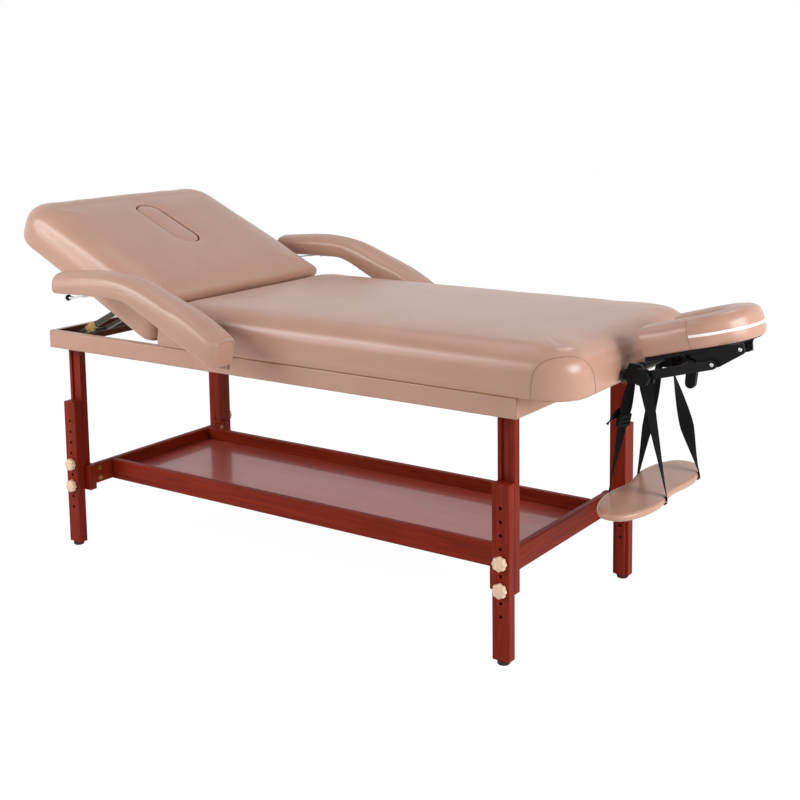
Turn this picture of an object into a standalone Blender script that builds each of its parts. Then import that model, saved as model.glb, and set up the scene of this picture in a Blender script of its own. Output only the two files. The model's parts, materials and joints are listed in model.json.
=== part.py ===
"""Portable massage table with a lifting back, two armrests, a face cradle and a hanging arm shelf.

Metres, +Z up. +X runs towards the face cradle, -Y is the near side. Pieces are first placed from the
middle of the leg frame, and the whole table is then moved so that its box stands centred on the origin.
"""

from math import atan2, cos, degrees, exp, pi, radians, sin

import bmesh
import bpy
from mathutils import Matrix, Vector

# Clearances
FIT = 0.0003
RUN = 0.0005

# Upholstered apron frame
apron_length = 1.540
apron_setback = 0.013
apron_height = 0.051
apron_board = 0.020
apron_top = 0.638
hinge_rail_setback = 0.065

# Legs
leg_width = 0.045
lower_leg_depth = 0.027
upper_leg_depth = 0.022
lower_leg_length = 0.4185
leg_end_inset = 0.030
leg_side_inset = 0.017
upper_leg_foot = 0.165
leg_head_drop = 0.023
groove_width = 0.025
groove_depth = 0.005
hole_count = 9
hole_pitch = 0.032
hole_width = 0.009
first_hole_drop = 0.0565
slot_width = 0.0072
pinned_holes = (4, 6)
glide_diameter = 0.030
glide_height = 0.010

# Star knobs on the legs
knob_diameter = 0.040
knob_height = 0.016
knob_lobes = 7
knob_lobe_depth = 0.0022
stud_diameter = 0.006
stud_length = 0.046

# Shelf between the legs
block_along = 0.022
block_across = 0.024
block_height = 0.073
rail_height = 0.058
end_rail_board = 0.020
tray_rail_board = 0.020
tray_width = 0.4334
tray_panel_board = 0.008
tray_panel_drop = 0.034

# Decks and their cushions
deck_board = 0.036
cushion_width = 0.720
cushion_height = 0.113
cushion_crown = 0.006
cushion_round = 0.042
cushion_skirt = 0.010
cushion_tuck = 0.005
cushion_draw = 0.0025
crown_reach = 0.250
corner_radius = 0.095
crease_corner = 0.024
crease_gap = 0.0225
foot_overhang = 0.140

# Lifting back
hinge_offset = 0.410
back_length = 0.604
back_nose = 0.006
back_angle = 26.4
barrel_radius = 0.004
hinge_pin_radius = 0.002
hinge_end_inset = 0.047
barrel_count = 5
leaf_board = 0.002
leaf_reach = 0.062
plug_length = 0.243
plug_width = 0.092
plug_centre = 0.361
plug_gap = 0.0015
plug_seat = 0.014
plug_round = 0.008

# Stay that props the back
stay_reach = 0.180
stay_drop = 0.012
stay_spread = 0.400
stay_bar_width = 0.016
stay_bar_height = 0.010
stay_pin_radius = 0.003
stay_foot_radius = 0.005
stay_foot_clear = 0.007
lug_board = 0.003
lug_radius = 0.007
rack_board = 0.012
rack_height = 0.022
rack_pitch = 0.018
rack_teeth = 7
rack_tooth = 0.009
rack_setback = 0.085

# Armrests
armrest_clear = 0.060
armrest_width = 0.090
armrest_height = 0.062
armrest_round = 0.020
armrest_core_width = 0.070
armrest_core_board = 0.024
armrest_end_cover = 0.012
armrest_pad_length = 0.217
armrest_drop_length = 0.390
armrest_slope = 24.7
armrest_bend = 0.110
armrest_tilt = -2.5
armrest_pivot_lead = 0.262
armrest_pivot_rise = 0.069
armrest_pivot_along = 0.142
armrest_stub_radius = 0.006
armrest_stub_depth = 0.045
mount_board = 0.004
mount_width = 0.044
mount_clear = 0.009
mount_foot = 0.030
mount_head = 0.020
lever_length = 0.100
lever_width = 0.014
lever_board = 0.003
lever_dip = 0.010
lever_screw_radius = 0.0025
lever_screw_depth = 0.014
lever_ball = 0.017
lever_setback = 0.145

# Face cradle
cradle_spread = 0.202
cradle_hub_reach = 0.053
cradle_hub_rise = 0.026
cradle_angle = 15.6
peg_radius = 0.008
peg_length = 0.118
sleeve_wall = 0.002
sleeve_length = 0.125
flange_radius = 0.017
flange_board = 0.003
hub_block_length = 0.064
hub_block_height = 0.048
hub_block_board = 0.012
hub_block_lead = 0.043
hub_block_shoulder = 0.030
hub_block_nose = 0.024
hanger_radius = 0.009
hanger_back = 0.030
hanger_rise = 0.008
arm_board = 0.008
arm_height = 0.021
arm_length = 0.166
cross_tube_radius = 0.007
cross_tube_along = 0.075
hub_stud_radius = 0.004
hub_knob_diameter = 0.042
hub_knob_height = 0.014
hub_knob_lobes = 12
hub_knob_lobe_depth = 0.0008
platform_rise = 0.031
platform_board = 0.009
platform_bar_start = 0.118
platform_bar_end = 0.243
platform_far_bar_end = 0.186
platform_bar_low = 0.008
pivot_pin_radius = 0.003
cradle_start = 0.014
cradle_bow = 0.129
cradle_half = 0.083
cradle_start_half = 0.077
face_pad_half = 0.043
face_pad_height = 0.064
face_pad_crown = 0.004
face_pad_round = 0.026
platform_half = 0.031
lever_ring_radius = 0.0125
lever_ring_width = 0.014
lever_paddle_reach = 0.050
lever_paddle_half = 0.012
lever_paddle_lean = 22.0

# Hanging arm shelf
shelf_length = 0.450
shelf_half = 0.072
shelf_waist = 0.30
shelf_waist_reach = 0.070
shelf_height = 0.030
shelf_drop = 0.302
strap_width = 0.025
strap_board = 0.002
strap_spread = 0.220
strap_top_spread = 0.144
strap_shift = 0.025
strap_twist = 0.30
strap_gap = 0.0006
buckle_width = 0.034
buckle_length = 0.026
buckle_board = 0.008
buckle_share = 0.46

# How finely round shapes are drawn
corner_steps = 5
side_steps = 5
arc_steps = 4
round_sides = 12

# Places worked out from the sizes above
deck_low = apron_top + FIT
apron_low = apron_top - apron_height
half_length = apron_length / 2
half_width = cushion_width / 2 - apron_setback
leg_x = half_length - leg_end_inset - leg_width / 2
hinge_length = 2 * (half_width - hinge_end_inset)
stay_foot_length = 2 * (half_width - apron_board - stay_foot_clear)
lower_leg_outer = half_width - leg_side_inset
lower_leg_inner = lower_leg_outer - lower_leg_depth
upper_leg_outer = lower_leg_inner - RUN
lower_leg_top = glide_height + FIT + lower_leg_length
rail_top = upper_leg_foot + block_height
rail_face = leg_x - leg_width / 2 - block_along
main_end = half_length + foot_overhang
hinge_x = hinge_offset - half_length
armrest_inner = cushion_width / 2 + armrest_clear
armrest_pivot_x = hinge_x + armrest_pivot_lead
armrest_pivot_z = apron_top + armrest_pivot_rise
cradle_hub_x = main_end + cradle_hub_reach
cradle_hub_z = apron_top + cradle_hub_rise
SIDES = (("near", -1), ("far", 1))
ENDS = (("head", -1), ("foot", 1))

for leftover in list(bpy.data.objects):
    bpy.data.objects.remove(leftover)


def finish(name, red, green, blue, roughness, metallic=0.0):
    """A plain material of one colour."""
    made = bpy.data.materials.new(name)
    made.use_nodes = True
    shader = made.node_tree.nodes["Principled BSDF"]
    shader.inputs["Base Color"].default_value = (red, green, blue, 1)
    shader.inputs["Roughness"].default_value = roughness
    shader.inputs["Metallic"].default_value = metallic
    return made


VINYL = finish("tan_vinyl", 0.55, 0.35, 0.27, 0.45)
WOOD = finish("mahogany_stained_wood", 0.19, 0.027, 0.018, 0.30)
PLYWOOD = finish("plywood", 0.32, 0.19, 0.10, 0.6)
KNOB = finish("beige_plastic", 0.83, 0.60, 0.43, 0.4)
BLACK = finish("black_plastic", 0.01, 0.01, 0.01, 0.45)
WEBBING = finish("black_webbing", 0.012, 0.012, 0.012, 0.8)
RUBBER = finish("dark_rubber", 0.02, 0.02, 0.02, 0.8)
STEEL = finish("zinc_plated_steel", 0.55, 0.55, 0.55, 0.35, 1.0)
BRASS = finish("yellow_zinc_steel", 0.35, 0.22, 0.07, 0.4, 1.0)


def empty(name, parent, at, turn_y=0.0):
    """A pivot that carries the pieces of one moving body."""
    pivot = bpy.data.objects.new(name, None)
    bpy.context.collection.objects.link(pivot)
    pivot.parent = parent
    pivot.location = at
    pivot.rotation_euler = (0, radians(turn_y), 0)
    return pivot


def add(name, shape, material, parent, at=(0, 0, 0), turn=(0, 0, 0)):
    """Turn a bmesh into a named object with outward faces and smooth round sides."""
    bmesh.ops.recalc_face_normals(shape, faces=shape.faces)
    mesh = bpy.data.meshes.new(name)
    shape.to_mesh(mesh)
    shape.free()
    mesh.shade_smooth()
    mesh.set_sharp_from_angle(angle=radians(40))
    mesh.materials.append(material)
    made = bpy.data.objects.new(name, mesh)
    bpy.context.collection.objects.link(made)
    made.parent = parent
    made.location = at
    made.rotation_euler = turn
    return made


def boolean(target, shape, operation):
    """Cut a shape out of a piece, or join it on, in the piece's own axes."""
    tool = add(target.name + "_" + operation.lower(), shape, target.data.materials[0], target)
    tool.hide_render = True
    tool.display_type = "WIRE"
    step = target.modifiers.new(operation.title(), "BOOLEAN")
    step.operation = operation
    step.object = tool
    step.solver = "EXACT"
    step.use_self = True


def cut(target, shape):
    boolean(target, shape, "DIFFERENCE")


def join(target, shape):
    boolean(target, shape, "UNION")


def soften(target, width):
    """Break the edges of a board."""
    step = target.modifiers.new("Edges", "BEVEL")
    step.width = width
    step.segments = 1
    step.limit_method = "ANGLE"


def box(low, high, shape=None):
    """A block between two corners."""
    shape = shape or bmesh.new()
    low, high = Vector(low), Vector(high)
    place = Matrix.Translation((low + high) / 2) @ Matrix.Diagonal((*(high - low), 1))
    bmesh.ops.create_cube(shape, size=1, matrix=place)
    return shape


def rod(start, end, radius, shape=None, sides=round_sides):
    """A round bar between two points."""
    shape = shape or bmesh.new()
    start, end = Vector(start), Vector(end)
    lie = (end - start).to_track_quat("Z", "Y").to_matrix().to_4x4()
    place = Matrix.Translation((start + end) / 2) @ lie
    bmesh.ops.create_cone(shape, cap_ends=True, segments=sides, radius1=radius, radius2=radius,
                          depth=(end - start).length, matrix=place)
    return shape


def bore(start, end, radius, shape=None):
    """A cutter for a round hole, whose flat sides all lie outside the radius."""
    return rod(start, end, radius / cos(pi / round_sides), shape)


def loft(rings, shape=None):
    """A closed skin through rings of equal count, with a flat cap on the first and the last."""
    shape = shape or bmesh.new()
    made = [[shape.verts.new(point) for point in ring] for ring in rings]
    count = len(made[0])
    for lower, upper in zip(made, made[1:]):
        for k in range(count):
            n = (k + 1) % count
            shape.faces.new((lower[k], lower[n], upper[n], upper[k]))
    shape.faces.new(made[0][::-1])
    shape.faces.new(made[-1])
    return shape


def slab(outline, low, high, axis="z", shape=None):
    """An outline pushed straight along one axis; the outline is given in the other two, in order."""
    def point(a, b, depth):
        return {"z": (a, b, depth), "y": (a, depth, b), "x": (depth, a, b)}[axis]
    return loft([[point(a, b, depth) for a, b in outline] for depth in (low, high)], shape)


def arc(centre, radius, start, end, steps):
    """Points round part of a circle, angles in degrees."""
    turns = [radians(start + (end - start) * k / steps) for k in range(steps + 1)]
    return [(centre[0] + radius * cos(t), centre[1] + radius * sin(t)) for t in turns]


def stadium(start, end, radius, steps=6):
    """A bar with round ends between two points."""
    lean = degrees(atan2(end[1] - start[1], end[0] - start[0]))
    return (arc(end, radius, lean - 90, lean + 90, steps)
            + arc(start, radius, lean + 90, lean + 270, steps))


def lobed(radius, lobes, depth, height, points):
    """One ring of a knob, with as many lobes as asked."""
    turns = [2 * pi * k / points for k in range(points)]
    reach = [radius - depth + depth * cos(lobes * t) for t in turns]
    return [(r * cos(t), r * sin(t), height) for r, t in zip(reach, turns)]


def knob(diameter, height, lobes, depth, stud_radius, stud):
    """A knob that stands on z = 0 with its stud hanging below, as one turned and lobed form."""
    points = max(5 * lobes, 24) if lobes < 10 else 2 * lobes
    radius = diameter / 2
    waist = [(stud_radius, 0, -stud), (stud_radius, 0, 0)]
    body = [(0.88 * radius, depth, 0), (radius, depth, 0.25 * height),
            (radius, depth, 0.75 * height), (0.84 * radius, depth, height)]
    return loft([lobed(r, lobes, d, z, points) for r, d, z in waist + body])


def rounded_outline(start, end, half, start_radius, end_radius, inset, draw):
    """A long outline with round corners, drawn in a little between them."""
    least = 0.004
    low, high, side = start + inset, end - inset, half - inset
    near, far = max(start_radius - inset, least), max(end_radius - inset, least)
    corners = [((high - far, side - far), far, 0), ((low + near, side - near), near, 90),
               ((low + near, near - side), near, 180), ((high - far, far - side), far, 270)]
    arcs = [arc(centre, r, begin, begin + 90, corner_steps) for centre, r, begin in corners]
    points = []
    for k, inward in enumerate(((0, -1), (1, 0), (0, 1), (-1, 0))):
        points += arcs[k]
        a, b = Vector(arcs[k][-1]), Vector(arcs[(k + 1) % 4][0])
        for step in range(1, side_steps):
            share = step / side_steps
            pulled = a.lerp(b, share) + Vector(inward) * draw * sin(pi * share)
            points.append((pulled.x, pulled.y))
    return points


def bed_outline(start, end, start_radius, end_radius, inset, draw=0.0):
    """An outline of one bed section, drawn in from the cushion's edge."""
    return rounded_outline(start, end, cushion_width / 2, start_radius, end_radius, inset, draw)


def bed_cushion(start, end, start_radius, end_radius, nose=0.0):
    """A cushion with a pocket underneath for its deck, drawn-in sides, round edges and a crown.

    Its starting end may swell past the deck by a nose, which grows from nothing at the underside.
    """
    straight = cushion_height - cushion_round
    profile = [(cushion_skirt, deck_board + FIT), (cushion_skirt, 0), (cushion_tuck, 0),
               (cushion_tuck / 4, 0.12 * straight), (0, 0.5 * straight)]
    for k in range(arc_steps + 1):
        turn = pi / 2 * k / arc_steps
        profile.append((cushion_round * (1 - cos(turn)), straight + cushion_round * sin(turn)))
    for share in (0.3, 1.0):
        inset = cushion_round + share * (crown_reach - cushion_round)
        profile.append((inset, cushion_height + cushion_crown * (1 - (1 - share) ** 2)))
    rings = []
    for ring, (inset, height) in enumerate(profile):
        draw = cushion_draw if inset < cushion_round else 0.0
        swell = nose * min(height / straight, 1) ** 0.5 if ring > 2 else 0.0
        outline = bed_outline(start - swell, end, start_radius + swell, end_radius, inset, draw)
        rings.append([(x, y, height) for x, y in outline])
    return loft(rings)


def bed_deck(start, end, start_radius, end_radius):
    """The board under a bed section, a fit smaller than the pocket in its cushion."""
    outline = bed_outline(start, end, start_radius, end_radius, cushion_skirt + FIT, cushion_draw)
    return slab(outline, 0, deck_board)


def sweep(path, across, section, scales, plumb=0):
    """A section pushed along a path. across gives the section's sideways direction at each point.

    The last few sections, as many as plumb says, stand upright instead of square to the path.
    """
    rings = []
    for k, point in enumerate(path):
        ahead = path[min(k + 1, len(path) - 1)] - path[max(k - 1, 0)]
        side = across(ahead).normalized()
        rise = ahead.cross(side).normalized()
        if k >= len(path) - plumb:
            rise = Vector((0, 0, 1)) / rise.z
        wide, tall = scales[k]
        rings.append([point + side * a * wide + rise * b * tall for a, b in section])
    return loft(rings)


def pillow_section(half, height, rounding, crown):
    """A section with round top edges and a crown, flat underneath, with its base at 0."""
    right = [(0.94 * half, 0), (half, 0.16 * height), (half, height - rounding)]
    right += arc((half - rounding, height - rounding), rounding, 30, 90, 2)
    top = [(0.0, height + crown)]
    return right + top + [(-a, b) for a, b in reversed(right)]


def flat_section(half, low, high):
    """A plain rectangular section."""
    return [(half, low), (half, high), (-half, high), (-half, low)]


table = empty("massage_table", None, (0, 0, 0))


def build_apron():
    """A glued and upholstered frame, open at the top and below, and the rail under the hinge."""
    frame = box((-half_length, -half_width, apron_low), (half_length, half_width, apron_top))
    apron = add("apron", frame, VINYL, table)
    inside, reach = half_length - apron_board, half_width - apron_board
    cut(apron, box((-inside, -reach, apron_low - 0.01), (inside, reach, apron_top + 0.01)))
    soften(apron, 0.003)
    rail_x = hinge_x + hinge_rail_setback
    reach -= FIT
    rail = box((rail_x, -reach, apron_low), (rail_x + apron_board, reach, apron_top))
    soften(add("hinge_rail", rail, PLYWOOD, table), 0.002)


def stud_heights():
    """Heights of the two studs in a leg."""
    top = lower_leg_top - first_hole_drop
    return [top - hole * hole_pitch for hole in pinned_holes]


def build_leg(end, x_sign, side, y_sign):
    """One leg: a fixed grooved upper leg, a sliding lower leg with holes, a glide and two knobs."""
    label = end + "_" + side
    x = x_sign * leg_x
    half = leg_width / 2
    heights = stud_heights()

    def outward(a, b):
        return tuple(sorted((y_sign * a, y_sign * b)))

    inner, outer = upper_leg_outer - upper_leg_depth, upper_leg_outer
    notch = groove_width / 2
    outline = [(-half, inner), (half, inner), (half, outer), (notch, outer), (notch, outer - groove_depth),
               (-notch, outer - groove_depth), (-notch, outer), (-half, outer)]
    leg_head = apron_top - leg_head_drop
    upper = slab([(a, y_sign * b) for a, b in outline], upper_leg_foot, leg_head)
    upper = add("upper_leg_" + label, upper, WOOD, table, (x, 0, 0))
    spacer = outward(upper_leg_outer - groove_depth - 0.004, half_width - apron_board - FIT)
    blocks = box((-half, spacer[0], apron_low), (half, spacer[1], leg_head))
    across = outward(upper_leg_outer - block_across, upper_leg_outer)
    along = sorted((-x_sign * (half - 0.004), -x_sign * (half + block_along)))
    join(upper, box((along[0], across[0], upper_leg_foot), (along[1], across[1], rail_top), blocks))
    holes = bmesh.new()
    for height in heights:
        bore((0, y_sign * (inner - 0.01), height), (0, y_sign * (outer + 0.01), height),
             stud_diameter / 2 + FIT, holes)
    cut(upper, holes)

    inner, outer = lower_leg_inner, lower_leg_outer
    tongue = notch - RUN
    ridge = inner - groove_depth + RUN
    outline = [(-half, inner), (-tongue, inner), (-tongue, ridge), (tongue, ridge), (tongue, inner),
               (half, inner), (half, outer), (-half, outer)]
    base = glide_height + FIT
    lower = slab([(a, y_sign * b) for a, b in outline], base, lower_leg_top)
    lower = add("lower_leg_" + label, lower, WOOD, table, (x, 0, 0))
    first = lower_leg_top - first_hole_drop
    last = first - (hole_count - 1) * hole_pitch
    through = outward(ridge - 0.01, outer + 0.01)
    cut(lower, box((-slot_width / 2, through[0], last), (slot_width / 2, through[1], first)))
    row = bmesh.new()
    for hole in range(hole_count):
        height = first - hole * hole_pitch
        rod((0, through[0], height), (0, through[1], height), hole_width / 2, row, 10)
    cut(lower, row)

    middle = (lower_leg_inner + lower_leg_outer) / 2
    glide = loft([[(*point, height) for point in arc((0, 0), reach, 0, 345, 23)]
                  for reach, height in ((glide_diameter / 2 - 0.002, 0), (glide_diameter / 2, 0.002),
                                        (glide_diameter / 2, glide_height))])
    add("glide_" + label, glide, RUBBER, table, (x, y_sign * middle, 0))
    for place, height in zip(("top", "low"), heights):
        grip = knob(knob_diameter, knob_height, knob_lobes, knob_lobe_depth, stud_diameter / 2, stud_length)
        add("star_knob_" + label + "_" + place, grip, KNOB, table,
            (x, y_sign * (lower_leg_outer + RUN), height), (-y_sign * pi / 2, 0, 0))


def build_tray():
    """Two end rails between the legs, two long rails between those, and the panel they hold."""
    low = rail_top - rail_height
    reach = upper_leg_outer - block_across - FIT
    for end, x in ENDS:
        span = sorted((x * rail_face, x * (rail_face + end_rail_board)))
        rail = box((span[0], -reach, low), (span[1], reach, rail_top))
        soften(add("end_rail_" + end, rail, WOOD, table), 0.002)
    length = rail_face - FIT
    for side, y in SIDES:
        span = sorted((y * tray_width / 2, y * (tray_width / 2 - tray_rail_board)))
        rail = box((-length, span[0], low), (length, span[1], rail_top))
        soften(add("tray_rail_" + side, rail, WOOD, table), 0.002)
    inside = tray_width / 2 - tray_rail_board - FIT
    top = rail_top - tray_panel_drop
    add("tray_panel", box((-length, -inside, top - tray_panel_board), (length, inside, top)), WOOD, table)


def build_main_bed():
    """The fixed deck and its cushion, bored at the end for the face cradle's pegs."""
    start = hinge_x + crease_gap
    deck = add("main_deck", bed_deck(start, main_end, crease_corner, corner_radius), PLYWOOD, table,
               (0, 0, deck_low))
    cushion = add("main_cushion", bed_cushion(start, main_end, crease_corner, corner_radius), VINYL, table,
                  (0, 0, deck_low))
    bores, windows = bmesh.new(), bmesh.new()
    sleeve = peg_radius + RUN + sleeve_wall
    for _, y in SIDES:
        span = (main_end - sleeve_length - RUN, main_end + 0.02)
        line = [(x, y * cradle_spread / 2, deck_board / 2) for x in span]
        bore(*line, sleeve + FIT, bores)
        line[0] = (main_end - 2 * cushion_skirt, *line[0][1:])
        bore(*line, sleeve + 4 * FIT, windows)
    cut(deck, bores)
    cut(cushion, windows)


def turned(profile, sides=round_sides):
    """A hollow form turned about the x axis, from a closed profile of (along, radius)."""
    shape = bmesh.new()
    rings = []
    for k in range(sides):
        t = 2 * pi * k / sides
        rings.append([shape.verts.new((along, r * cos(t), r * sin(t))) for along, r in profile])
    skin_closed(shape, rings)
    return shape


def skin_closed(shape, rings):
    """Faces through rings that come round to the first again."""
    count = len(rings[0])
    for here, there in zip(rings, rings[1:] + rings[:1]):
        for p in range(count):
            q = (p + 1) % count
            shape.faces.new((here[p], here[q], there[q], there[p]))


def build_hinge(back):
    """A long hinge under the bed: the fixed leaf carries the pin, the moving leaf turns on it."""
    share = hinge_length / barrel_count
    start = -hinge_length / 2

    def leaf(sign, owned):
        inner, outer = sign * (barrel_radius + 4 * FIT), sign * leaf_reach
        outline = [(outer, start), (inner, start)]
        knuckles = bmesh.new()
        for k in owned:
            low, high = start + k * share + RUN, start + (k + 1) * share - RUN
            outline += [(inner, low), (0, low), (0, high), (inner, high)]
            rod((0, low, 0), (0, high, 0), barrel_radius, knuckles)
        outline += [(inner, -start), (outer, -start)]
        return slab(outline, -leaf_board - FIT, -FIT), knuckles

    plate, knuckles = leaf(1, range(0, barrel_count, 2))
    rod((0, start, 0), (0, -start, 0), hinge_pin_radius, knuckles)
    fixed = add("hinge_leaf_fixed", plate, STEEL, table, (hinge_x, 0, deck_low))
    join(fixed, knuckles)
    plate, knuckles = leaf(-1, range(1, barrel_count, 2))
    moving = add("hinge_leaf_moving", plate, STEEL, back)
    join(moving, knuckles)
    cut(moving, bore((0, start - 0.01, 0), (0, 0.01 - start, 0), hinge_pin_radius + FIT))


def build_bracket(back):
    """A strip across the underside of the back, with a pair of lugs and a pin for each bar of the stay."""
    offset = stay_bar_width / 2 + RUN
    end = stay_spread / 2 + offset + lug_board + lug_radius
    strip = box((-lug_radius, -end, -leaf_board), (lug_radius, end, 0))
    bracket = add("stay_bracket", strip, STEEL, back, (-stay_reach, 0, -FIT))
    outline = arc((0, -stay_drop), lug_radius, 180, 360, 6) + [(lug_radius, 0), (-lug_radius, 0)]
    lugs = bmesh.new()
    for y in (-stay_spread / 2, stay_spread / 2):
        for sign in (-1, 1):
            span = sorted((y + sign * offset, y + sign * (offset + lug_board)))
            slab([(a, min(b, -leaf_board / 2)) for a, b in outline], span[0], span[1], "y", lugs)
        rod((0, y - offset - lug_board / 2, -stay_drop), (0, y + offset + lug_board / 2, -stay_drop),
            stay_pin_radius, lugs)
    join(bracket, lugs)


def build_back(back):
    """The lifting deck, its cushion with a breath hole, and the plug that fills the hole."""
    ends = (-back_length, -crease_gap, corner_radius, crease_corner)
    deck = add("back_deck", bed_deck(*ends), PLYWOOD, back)
    cushion = add("back_cushion", bed_cushion(*ends, back_nose), VINYL, back)
    half = (plug_length - plug_width) / 2
    spots = ((-plug_centre - half, 0), (-plug_centre + half, 0))
    top = cushion_height + cushion_crown
    cut(deck, slab(stadium(*spots, plug_width / 2 - plug_seat), -0.01, deck_board + 0.01))
    cut(cushion, slab(stadium(*spots, plug_width / 2), deck_board - 0.01, top + 0.02))
    body = plug_width / 2 - plug_gap
    seat = deck_board + 2 * FIT
    profile = [(body, seat), (body, top - plug_round)]
    profile += [(body - 0.3 * plug_round, top - 0.3 * plug_round), (body - plug_round, top)]
    profile += [(0.35 * body, top + 0.002)]
    rings = [[(x + plug_centre, y, z) for x, y in stadium(*spots, radius)] for radius, z in profile]
    add("breath_hole_plug", loft(rings), VINYL, back, (-plug_centre, 0, 0))


def build_stay(back):
    """The prop under the back: two bars on the lugs, and a foot bar that stands in the racks."""
    build_bracket(back)
    stay = empty("stay_pivot", back, (-stay_reach, 0, -stay_drop - FIT), -2 * back_angle)
    shape = bmesh.new()
    rise = stay_bar_height / 2
    for sign in (-1, 1):
        y = sign * stay_spread / 2
        outline = stadium((-stay_reach, 0), (0, 0), rise)
        slab(outline, y - stay_bar_width / 2, y + stay_bar_width / 2, "y", shape)
    frame = add("stay_frame", shape, WOOD, stay)
    foot = stay_foot_length / 2
    join(frame, rod((-stay_reach, -foot, 0), (-stay_reach, foot, 0), stay_foot_radius))
    cut(frame, bore((0, -stay_spread, 0), (0, stay_spread, 0), stay_pin_radius + FIT))
    build_racks()


def build_racks():
    """Toothed strips on the inner faces of the long aprons, just under the stay's foot."""
    tips = deck_low - stay_drop - stay_foot_radius - 2 * RUN
    start = -half_length + rack_setback
    outline = [(start, tips - rack_height)]
    for k in range(rack_teeth):
        outline += [(start + k * rack_pitch, tips), (start + (k + 0.35) * rack_pitch, tips),
                    (start + (k + 0.65) * rack_pitch, tips - rack_tooth)]
    end = start + rack_teeth * rack_pitch
    outline += [(end, tips), (end + 0.3 * rack_pitch, tips), (end + 0.3 * rack_pitch, tips - rack_height)]
    face = half_width - apron_board - FIT
    for side, y in SIDES:
        span = sorted((y * face, y * (face - rack_board)))
        add("stay_rack_" + side, slab(outline, span[0], span[1], "y"), BRASS, table)


def armrest_path(trim):
    """The underside of an armrest in its own axes, level part first, with a round bend."""
    slope = radians(armrest_slope)
    swing = armrest_bend * (1 - cos(slope)) / sin(slope)
    down = Vector((cos(slope), 0, -sin(slope)))
    bend_start = Vector((-swing, 0, 0))
    centre = bend_start + Vector((0, 0, -armrest_bend))
    points = [Vector((-armrest_pad_length + trim, 0, 0)), Vector((-armrest_pad_length / 2, 0, 0))]
    for k in range(arc_steps + 1):
        t = slope * k / arc_steps
        points.append(centre + Vector((sin(t), 0, cos(t))) * armrest_bend)
    points += [down * armrest_drop_length * 0.5, down * (armrest_drop_length - trim)]
    return points


def end_rounded(points, length, widest, narrowest):
    """A path with extra points near its ends, and the scales that round the ends off there."""
    first = (points[1] - points[0]).normalized() * length
    last = (points[-2] - points[-1]).normalized() * length
    path = [points[0], points[0] + first * 0.3, points[0] + first, *points[1:-1],
            points[-1] + last, points[-1] + last * 0.3, points[-1]]
    slim, plump = (narrowest, widest), (0.5 + narrowest / 2, 0.5 + widest / 2)
    scales = [slim, plump] + [(1, 1)] * (len(path) - 4) + [plump, slim]
    return path, scales


def build_armrest(side, y_sign):
    """One armrest on its bracket: an upholstered bent arm over a wooden core, with a release lever."""
    centre = y_sign * (armrest_inner + armrest_width / 2)
    pivot = empty("armrest_pivot_" + side, table, (armrest_pivot_x, centre, armrest_pivot_z), armrest_tilt)
    slope = radians(armrest_slope)
    core_middle = Vector((sin(slope), 0, cos(slope))) * armrest_core_board / 2
    down_arm = Vector((cos(slope), 0, -sin(slope))) * (armrest_drop_length - armrest_pivot_along)
    on_arm = down_arm + core_middle
    shift = tuple(-on_arm)

    def across(ahead):
        return Vector((0, 1, 0))

    path, scales = end_rounded(armrest_path(0), 0.016, 0.96, 0.82)
    section = pillow_section(armrest_width / 2, armrest_height, armrest_round, 0.002)
    pad = add("armrest_pad_" + side, sweep(path, across, section, scales, 3), VINYL, pivot, shift)
    core_path = armrest_path(armrest_end_cover)
    plain = [(1, 1)] * len(core_path)
    section = flat_section(armrest_core_width / 2, 0, armrest_core_board)
    core = add("armrest_core_" + side, sweep(core_path, across, section, plain, 1), PLYWOOD, pivot, shift)
    pocket_path = armrest_path(armrest_end_cover - FIT)
    pocket = flat_section(armrest_core_width / 2 + FIT, -0.01, armrest_core_board + FIT)
    cut(pad, sweep(pocket_path, across, pocket, plain, 1))
    reach = armrest_width / 2 + 0.01
    deep = armrest_stub_depth + RUN - armrest_width / 2
    line = [(on_arm.x, -y_sign * reach, on_arm.z), (on_arm.x, y_sign * deep, on_arm.z)]
    cut(pad, bore(*line, armrest_stub_radius + 4 * RUN))
    lever_x = -armrest_pad_length + lever_setback
    holes = bore(*line, armrest_stub_radius + FIT)
    bore((lever_x, 0, -0.01), (lever_x, 0, lever_screw_depth + RUN), lever_screw_radius + FIT, holes)
    cut(core, holes)
    build_mount(side, y_sign)
    build_lever(side, pivot, Vector((lever_x, 0, -RUN)) - on_arm)


def build_mount(side, y_sign):
    """The steel bracket screwed to the apron: a foot plate, a step out past the cushion, and a stub."""
    foot_inner = half_width + FIT
    plate_inner = cushion_width / 2 + mount_clear
    foot_outer = foot_inner + mount_board
    plate_outer = plate_inner + mount_board
    low = apron_top - mount_board - mount_foot - FIT
    step = apron_top - 2 * FIT
    high = armrest_pivot_z + mount_head
    outline = [(foot_inner, low), (foot_outer, low), (foot_outer, step - mount_board),
               (plate_outer, step - mount_board), (plate_outer, high), (plate_inner, high),
               (plate_inner, step), (foot_inner, step)]
    half = mount_width / 2
    x = armrest_pivot_x
    shape = slab([(y_sign * y, z) for y, z in outline], x - half, x + half, "x")
    mount = add("armrest_mount_" + side, shape, STEEL, table)
    start = (x, y_sign * (plate_inner + mount_board / 2), armrest_pivot_z)
    shoulder = (x, y_sign * (armrest_inner - RUN), armrest_pivot_z)
    end = (x, y_sign * (armrest_inner + armrest_stub_depth), armrest_pivot_z)
    stub = rod(start, end, armrest_stub_radius)
    rod(start, shoulder, 1.8 * armrest_stub_radius, stub)
    join(mount, stub)


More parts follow.
